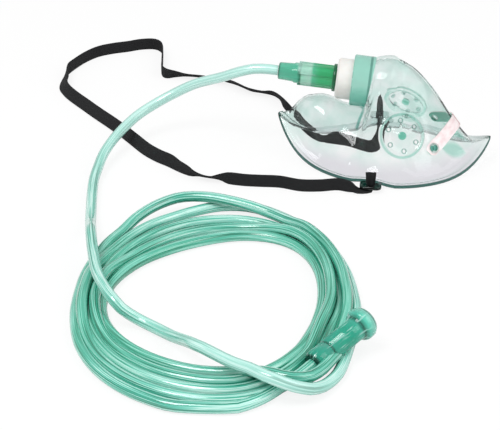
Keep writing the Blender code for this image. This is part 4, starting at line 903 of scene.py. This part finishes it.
# Port collar: a ring of clear green PVC, moulded with a flared base and a lip. It is pushed over the
# port's stub and grips it.
COLLAR_RADIUS = 15 * MM
COLLAR_BACK = 10.6
BACK_EDGE = (0.5, 1.0)
collar = merged_copy("port_collar", "port_collar_ring")
collar_green, tree, shader = new_material("collar_green")
shader.inputs["Transmission Weight"].default_value = 0.35
shader.inputs["IOR"].default_value = 1.12
shader.inputs["Coat Weight"].default_value = 0.6
where = tree.nodes.new("ShaderNodeTexCoord").outputs["Object"]
cloud = moulded_finish(tree, shader, where, (0.12, 0.3), 700, 0.02)
split = parts_of(tree, where)
# Painted shade: the ring is darker towards its bottom and paler at its top, mixed with the moulding's
# clouding
high = tree.nodes.new("ShaderNodeMapRange")
high.inputs["From Min"].default_value = PORT_ORIGIN.z - COLLAR_RADIUS
high.inputs["From Max"].default_value = PORT_ORIGIN.z + COLLAR_RADIUS
tree.links.new(split["Z"], high.inputs["Value"])
clouding = product(tree, math_node(tree, "SUBTRACT", cloud, 0.5), 0.6)
height_shade_and_cloud = math_node(tree, "ADD", high.outputs["Result"], clouding)
colour = shades_of(tree, height_shade_and_cloud, (
    (0.0, (0.08, 0.54, 0.42)), (0.25, (0.22, 0.68, 0.54)), (0.6, (0.42, 0.78, 0.67)),
    (1.0, (0.38, 0.74, 0.63)),
))
# Painted shade: a dark line at the ring's back edge, where it meets the shell
port = plane_place(tree, where, PORT_ORIGIN, (0, 1, 0), PORT_AXIS.cross(Vector((0, 1, 0))))
from_back = math_node(tree, "ABSOLUTE", math_node(tree, "ADD", port["Off"], COLLAR_BACK))
back_edge_shade = fade(tree, from_back, *BACK_EDGE)
colour = tinted(tree, colour, (0.01, 0.16, 0.12), product(tree, back_edge_shade, 0.6))
tree.links.new(colour, shader.inputs["Base Color"])
collar.data.materials.append(collar_green)


# Adapter cup: one moulding of white polypropylene with a satin surface. It is pushed into the stub,
# where it can be turned, and holds the tubing connector in its floor.
cup = merged_copy("port_cup", "port_cup_white")
cup_white, tree, shader = new_material("cup_white")
shader.inputs["Subsurface Weight"].default_value = 0.2
shader.inputs["Subsurface Radius"].default_value = (0.002, 0.0015, 0.0012)
shader.inputs["Subsurface Scale"].default_value = 1
where = tree.nodes.new("ShaderNodeTexCoord").outputs["Object"]
cloud = moulded_finish(tree, shader, where, (0.38, 0.52), 1100, 0.02)
colour = shades_of(tree, cloud, ((0.35, (0.69, 0.67, 0.64)), (0.65, (0.77, 0.755, 0.73))))
tree.links.new(colour, shader.inputs["Base Color"])
cup.data.materials.append(cup_white)


# Tubing connector: a ribbed sleeve of clear green plastic, moulded with a flange that lies on the cup
# and a plain end that the tube is bonded into.
CONNECTOR_FLANGE = 8.4
connector = merged_copy("tubing_connector", "tubing_connector_sleeve")
connector_green, tree, shader = new_material("connector_green")
shader.inputs["Transmission Weight"].default_value = 0.4
shader.inputs["IOR"].default_value = 1.15
shader.inputs["Coat Weight"].default_value = 0.8
shader.inputs["Coat Roughness"].default_value = 0.05
where = tree.nodes.new("ShaderNodeTexCoord").outputs["Object"]
cloud = moulded_finish(tree, shader, where, (0.06, 0.2), 700, 0.02)
port = plane_place(tree, where, PORT_ORIGIN, (0, 1, 0), PORT_AXIS.cross(Vector((0, 1, 0))))
from_flange = math_node(tree, "DIVIDE", math_node(tree, "ABSOLUTE", port["Off"]),
                        (CUP_END + CONNECTOR_LENGTH) / MM)
# Colour along the sleeve: its green, with the darkest bands as painted shade at its steps and ends, and a
# paler band
colour = shades_of(tree, from_flange, (
    (0.20, (0.01, 0.24, 0.09)), (0.26, (0.03, 0.50, 0.18)), (0.44, (0.05, 0.54, 0.22)),
    (0.53, (0.12, 0.60, 0.36)), (0.56, (0.48, 0.84, 0.68)), (0.68, (0.40, 0.80, 0.62)),
    (0.70, (0.02, 0.22, 0.12)), (0.74, (0.10, 0.54, 0.36)), (0.97, (0.13, 0.58, 0.40)),
    (1.0, (0.005, 0.12, 0.07)),
))
colour = tinted(tree, colour, (0.55, 0.86, 0.76), fade(tree, cloud, 0.30, 0.42))
# Painted shade: the flange's rim is dark
inner_part = fade(tree, port["Radius"], CONNECTOR_FLANGE - 1.0, CONNECTOR_FLANGE - 0.5)
flange_rim_shade = math_node(tree, "SUBTRACT", 1, inner_part)
colour = tinted(tree, colour, (0.01, 0.12, 0.05), product(tree, flange_rim_shade, 0.85))
tree.links.new(colour, shader.inputs["Base Color"])
connector.data.materials.append(connector_green)


# Supply connector: a soft clear green sleeve, moulded with a sunk ring and a flared mouth. The mouth
# is pushed on the oxygen outlet, and the tube is bonded into the narrow end.
supply = merged_copy("supply_connector", "supply_connector_funnel")
supply_green, tree, shader = new_material("supply_green")
shader.inputs["Transmission Weight"].default_value = 0.45
shader.inputs["IOR"].default_value = 1.15
shader.inputs["Coat Weight"].default_value = 0.8
shader.inputs["Coat Roughness"].default_value = 0.05
where = tree.nodes.new("ShaderNodeTexCoord").outputs["Object"]
cloud = moulded_finish(tree, shader, where, (0.06, 0.2), 700, 0.02)
across_supply = SUPPLY_AXIS.cross(Vector((0, 0, 1))).normalized()
funnel = plane_place(tree, where, SUPPLY_FROM, across_supply, SUPPLY_AXIS.cross(across_supply))
along = math_node(tree, "DIVIDE", math_node(tree, "ABSOLUTE", funnel["Off"]), SUPPLY_LENGTH / MM)
# Colour along the funnel: its green, with narrow dark bands across it and at its ends as painted shade
# where the clear sleeve bends the light, and paler at the mouth
colour = shades_of(tree, along, (
    (0.0, (0.004, 0.07, 0.05)), (0.03, (0.03, 0.46, 0.32)), (0.25, (0.07, 0.54, 0.40)),
    (0.275, (0.01, 0.12, 0.08)), (0.30, (0.06, 0.54, 0.39)), (0.62, (0.03, 0.48, 0.33)),
    (0.76, (0.07, 0.54, 0.40)), (0.81, (0.01, 0.10, 0.07)), (0.85, (0.10, 0.62, 0.47)),
    (0.95, (0.30, 0.76, 0.63)), (0.97, (0.02, 0.14, 0.10)), (1.0, (0.60, 0.90, 0.83)),
))
turned_by = math_node(tree, "ARCTAN2", funnel["Up"], funnel["Across"])
round_place = tree.nodes.new("ShaderNodeCombineXYZ")
tree.links.new(math_node(tree, "COSINE", turned_by), round_place.inputs["X"])
tree.links.new(math_node(tree, "SINE", turned_by), round_place.inputs["Y"])
tree.links.new(along, round_place.inputs["Z"])
# Painted highlights: pale streaks round and along the sleeve
streaks = tree.nodes.new("ShaderNodeTexNoise")
streaks.inputs["Scale"].default_value = 3.2
streaks.inputs["Detail"].default_value = 2
tree.links.new(round_place.outputs["Vector"], streaks.inputs["Vector"])
colour = tinted(tree, colour, (0.42, 0.82, 0.72), fade(tree, streaks.outputs["Fac"], 0.33, 0.44))
tree.links.new(colour, shader.inputs["Base Color"])
supply.data.materials.append(supply_green)


# Table and light: a plain white table top just under the part, a large soft lamp from the upper left
# and a wide fill, at a level at which a colour renders about as it is written.
TABLE_SIZE = 6
TABLE_TOP = -0.05 * MM
WHITE_SHARE = 0.85
WORLD_STRENGTH = 0.62
LIT_PLACE = Vector((-0.07, -0.08, 0))
LAMPS = (("key_lamp", (-0.55, -0.75, 1.35), 0.7, 13), ("fill_lamp", (0.9, -0.4, 0.9), 0.9, 5))

bpy.ops.mesh.primitive_plane_add(size=TABLE_SIZE, location=(0, 0, TABLE_TOP))
table_top = bpy.context.object
table_top.name = "table_top"
table_white, tree, shader = new_material("table_white")
shader.inputs["Base Color"].default_value = (0.9, 0.9, 0.9, 1)
shader.inputs["Roughness"].default_value = 0.7
seen = tree.nodes.new("ShaderNodeLightPath")
glow = tree.nodes.new("ShaderNodeEmission")
blend = tree.nodes.new("ShaderNodeMixShader")
direct = math_node(tree, "MAXIMUM", seen.outputs["Is Camera Ray"], seen.outputs["Is Transmission Ray"])
tree.links.new(product(tree, direct, WHITE_SHARE), blend.inputs["Fac"])
tree.links.new(shader.outputs["BSDF"], blend.inputs[1])
tree.links.new(glow.outputs["Emission"], blend.inputs[2])
tree.links.new(blend.outputs["Shader"], tree.nodes["Material Output"].inputs["Surface"])
table_top.data.materials.append(table_white)

world = bpy.data.worlds.new("studio")
bpy.context.scene.world = world
world.use_nodes = True
world.node_tree.nodes["Background"].inputs["Color"].default_value = (1, 1, 1, 1)
world.node_tree.nodes["Background"].inputs["Strength"].default_value = WORLD_STRENGTH

for name, place, size, power in LAMPS:
    lamp_data = bpy.data.lights.new(name, "AREA")
    lamp_data.shape = "SQUARE"
    lamp_data.size = size
    lamp_data.energy = power
    lamp = bpy.data.objects.new(name, lamp_data)
    lamp.location = place
    lamp.rotation_euler = (Vector(place) - LIT_PLACE).to_track_quat("Z", "Y").to_euler()
    bpy.context.scene.collection.objects.link(lamp)
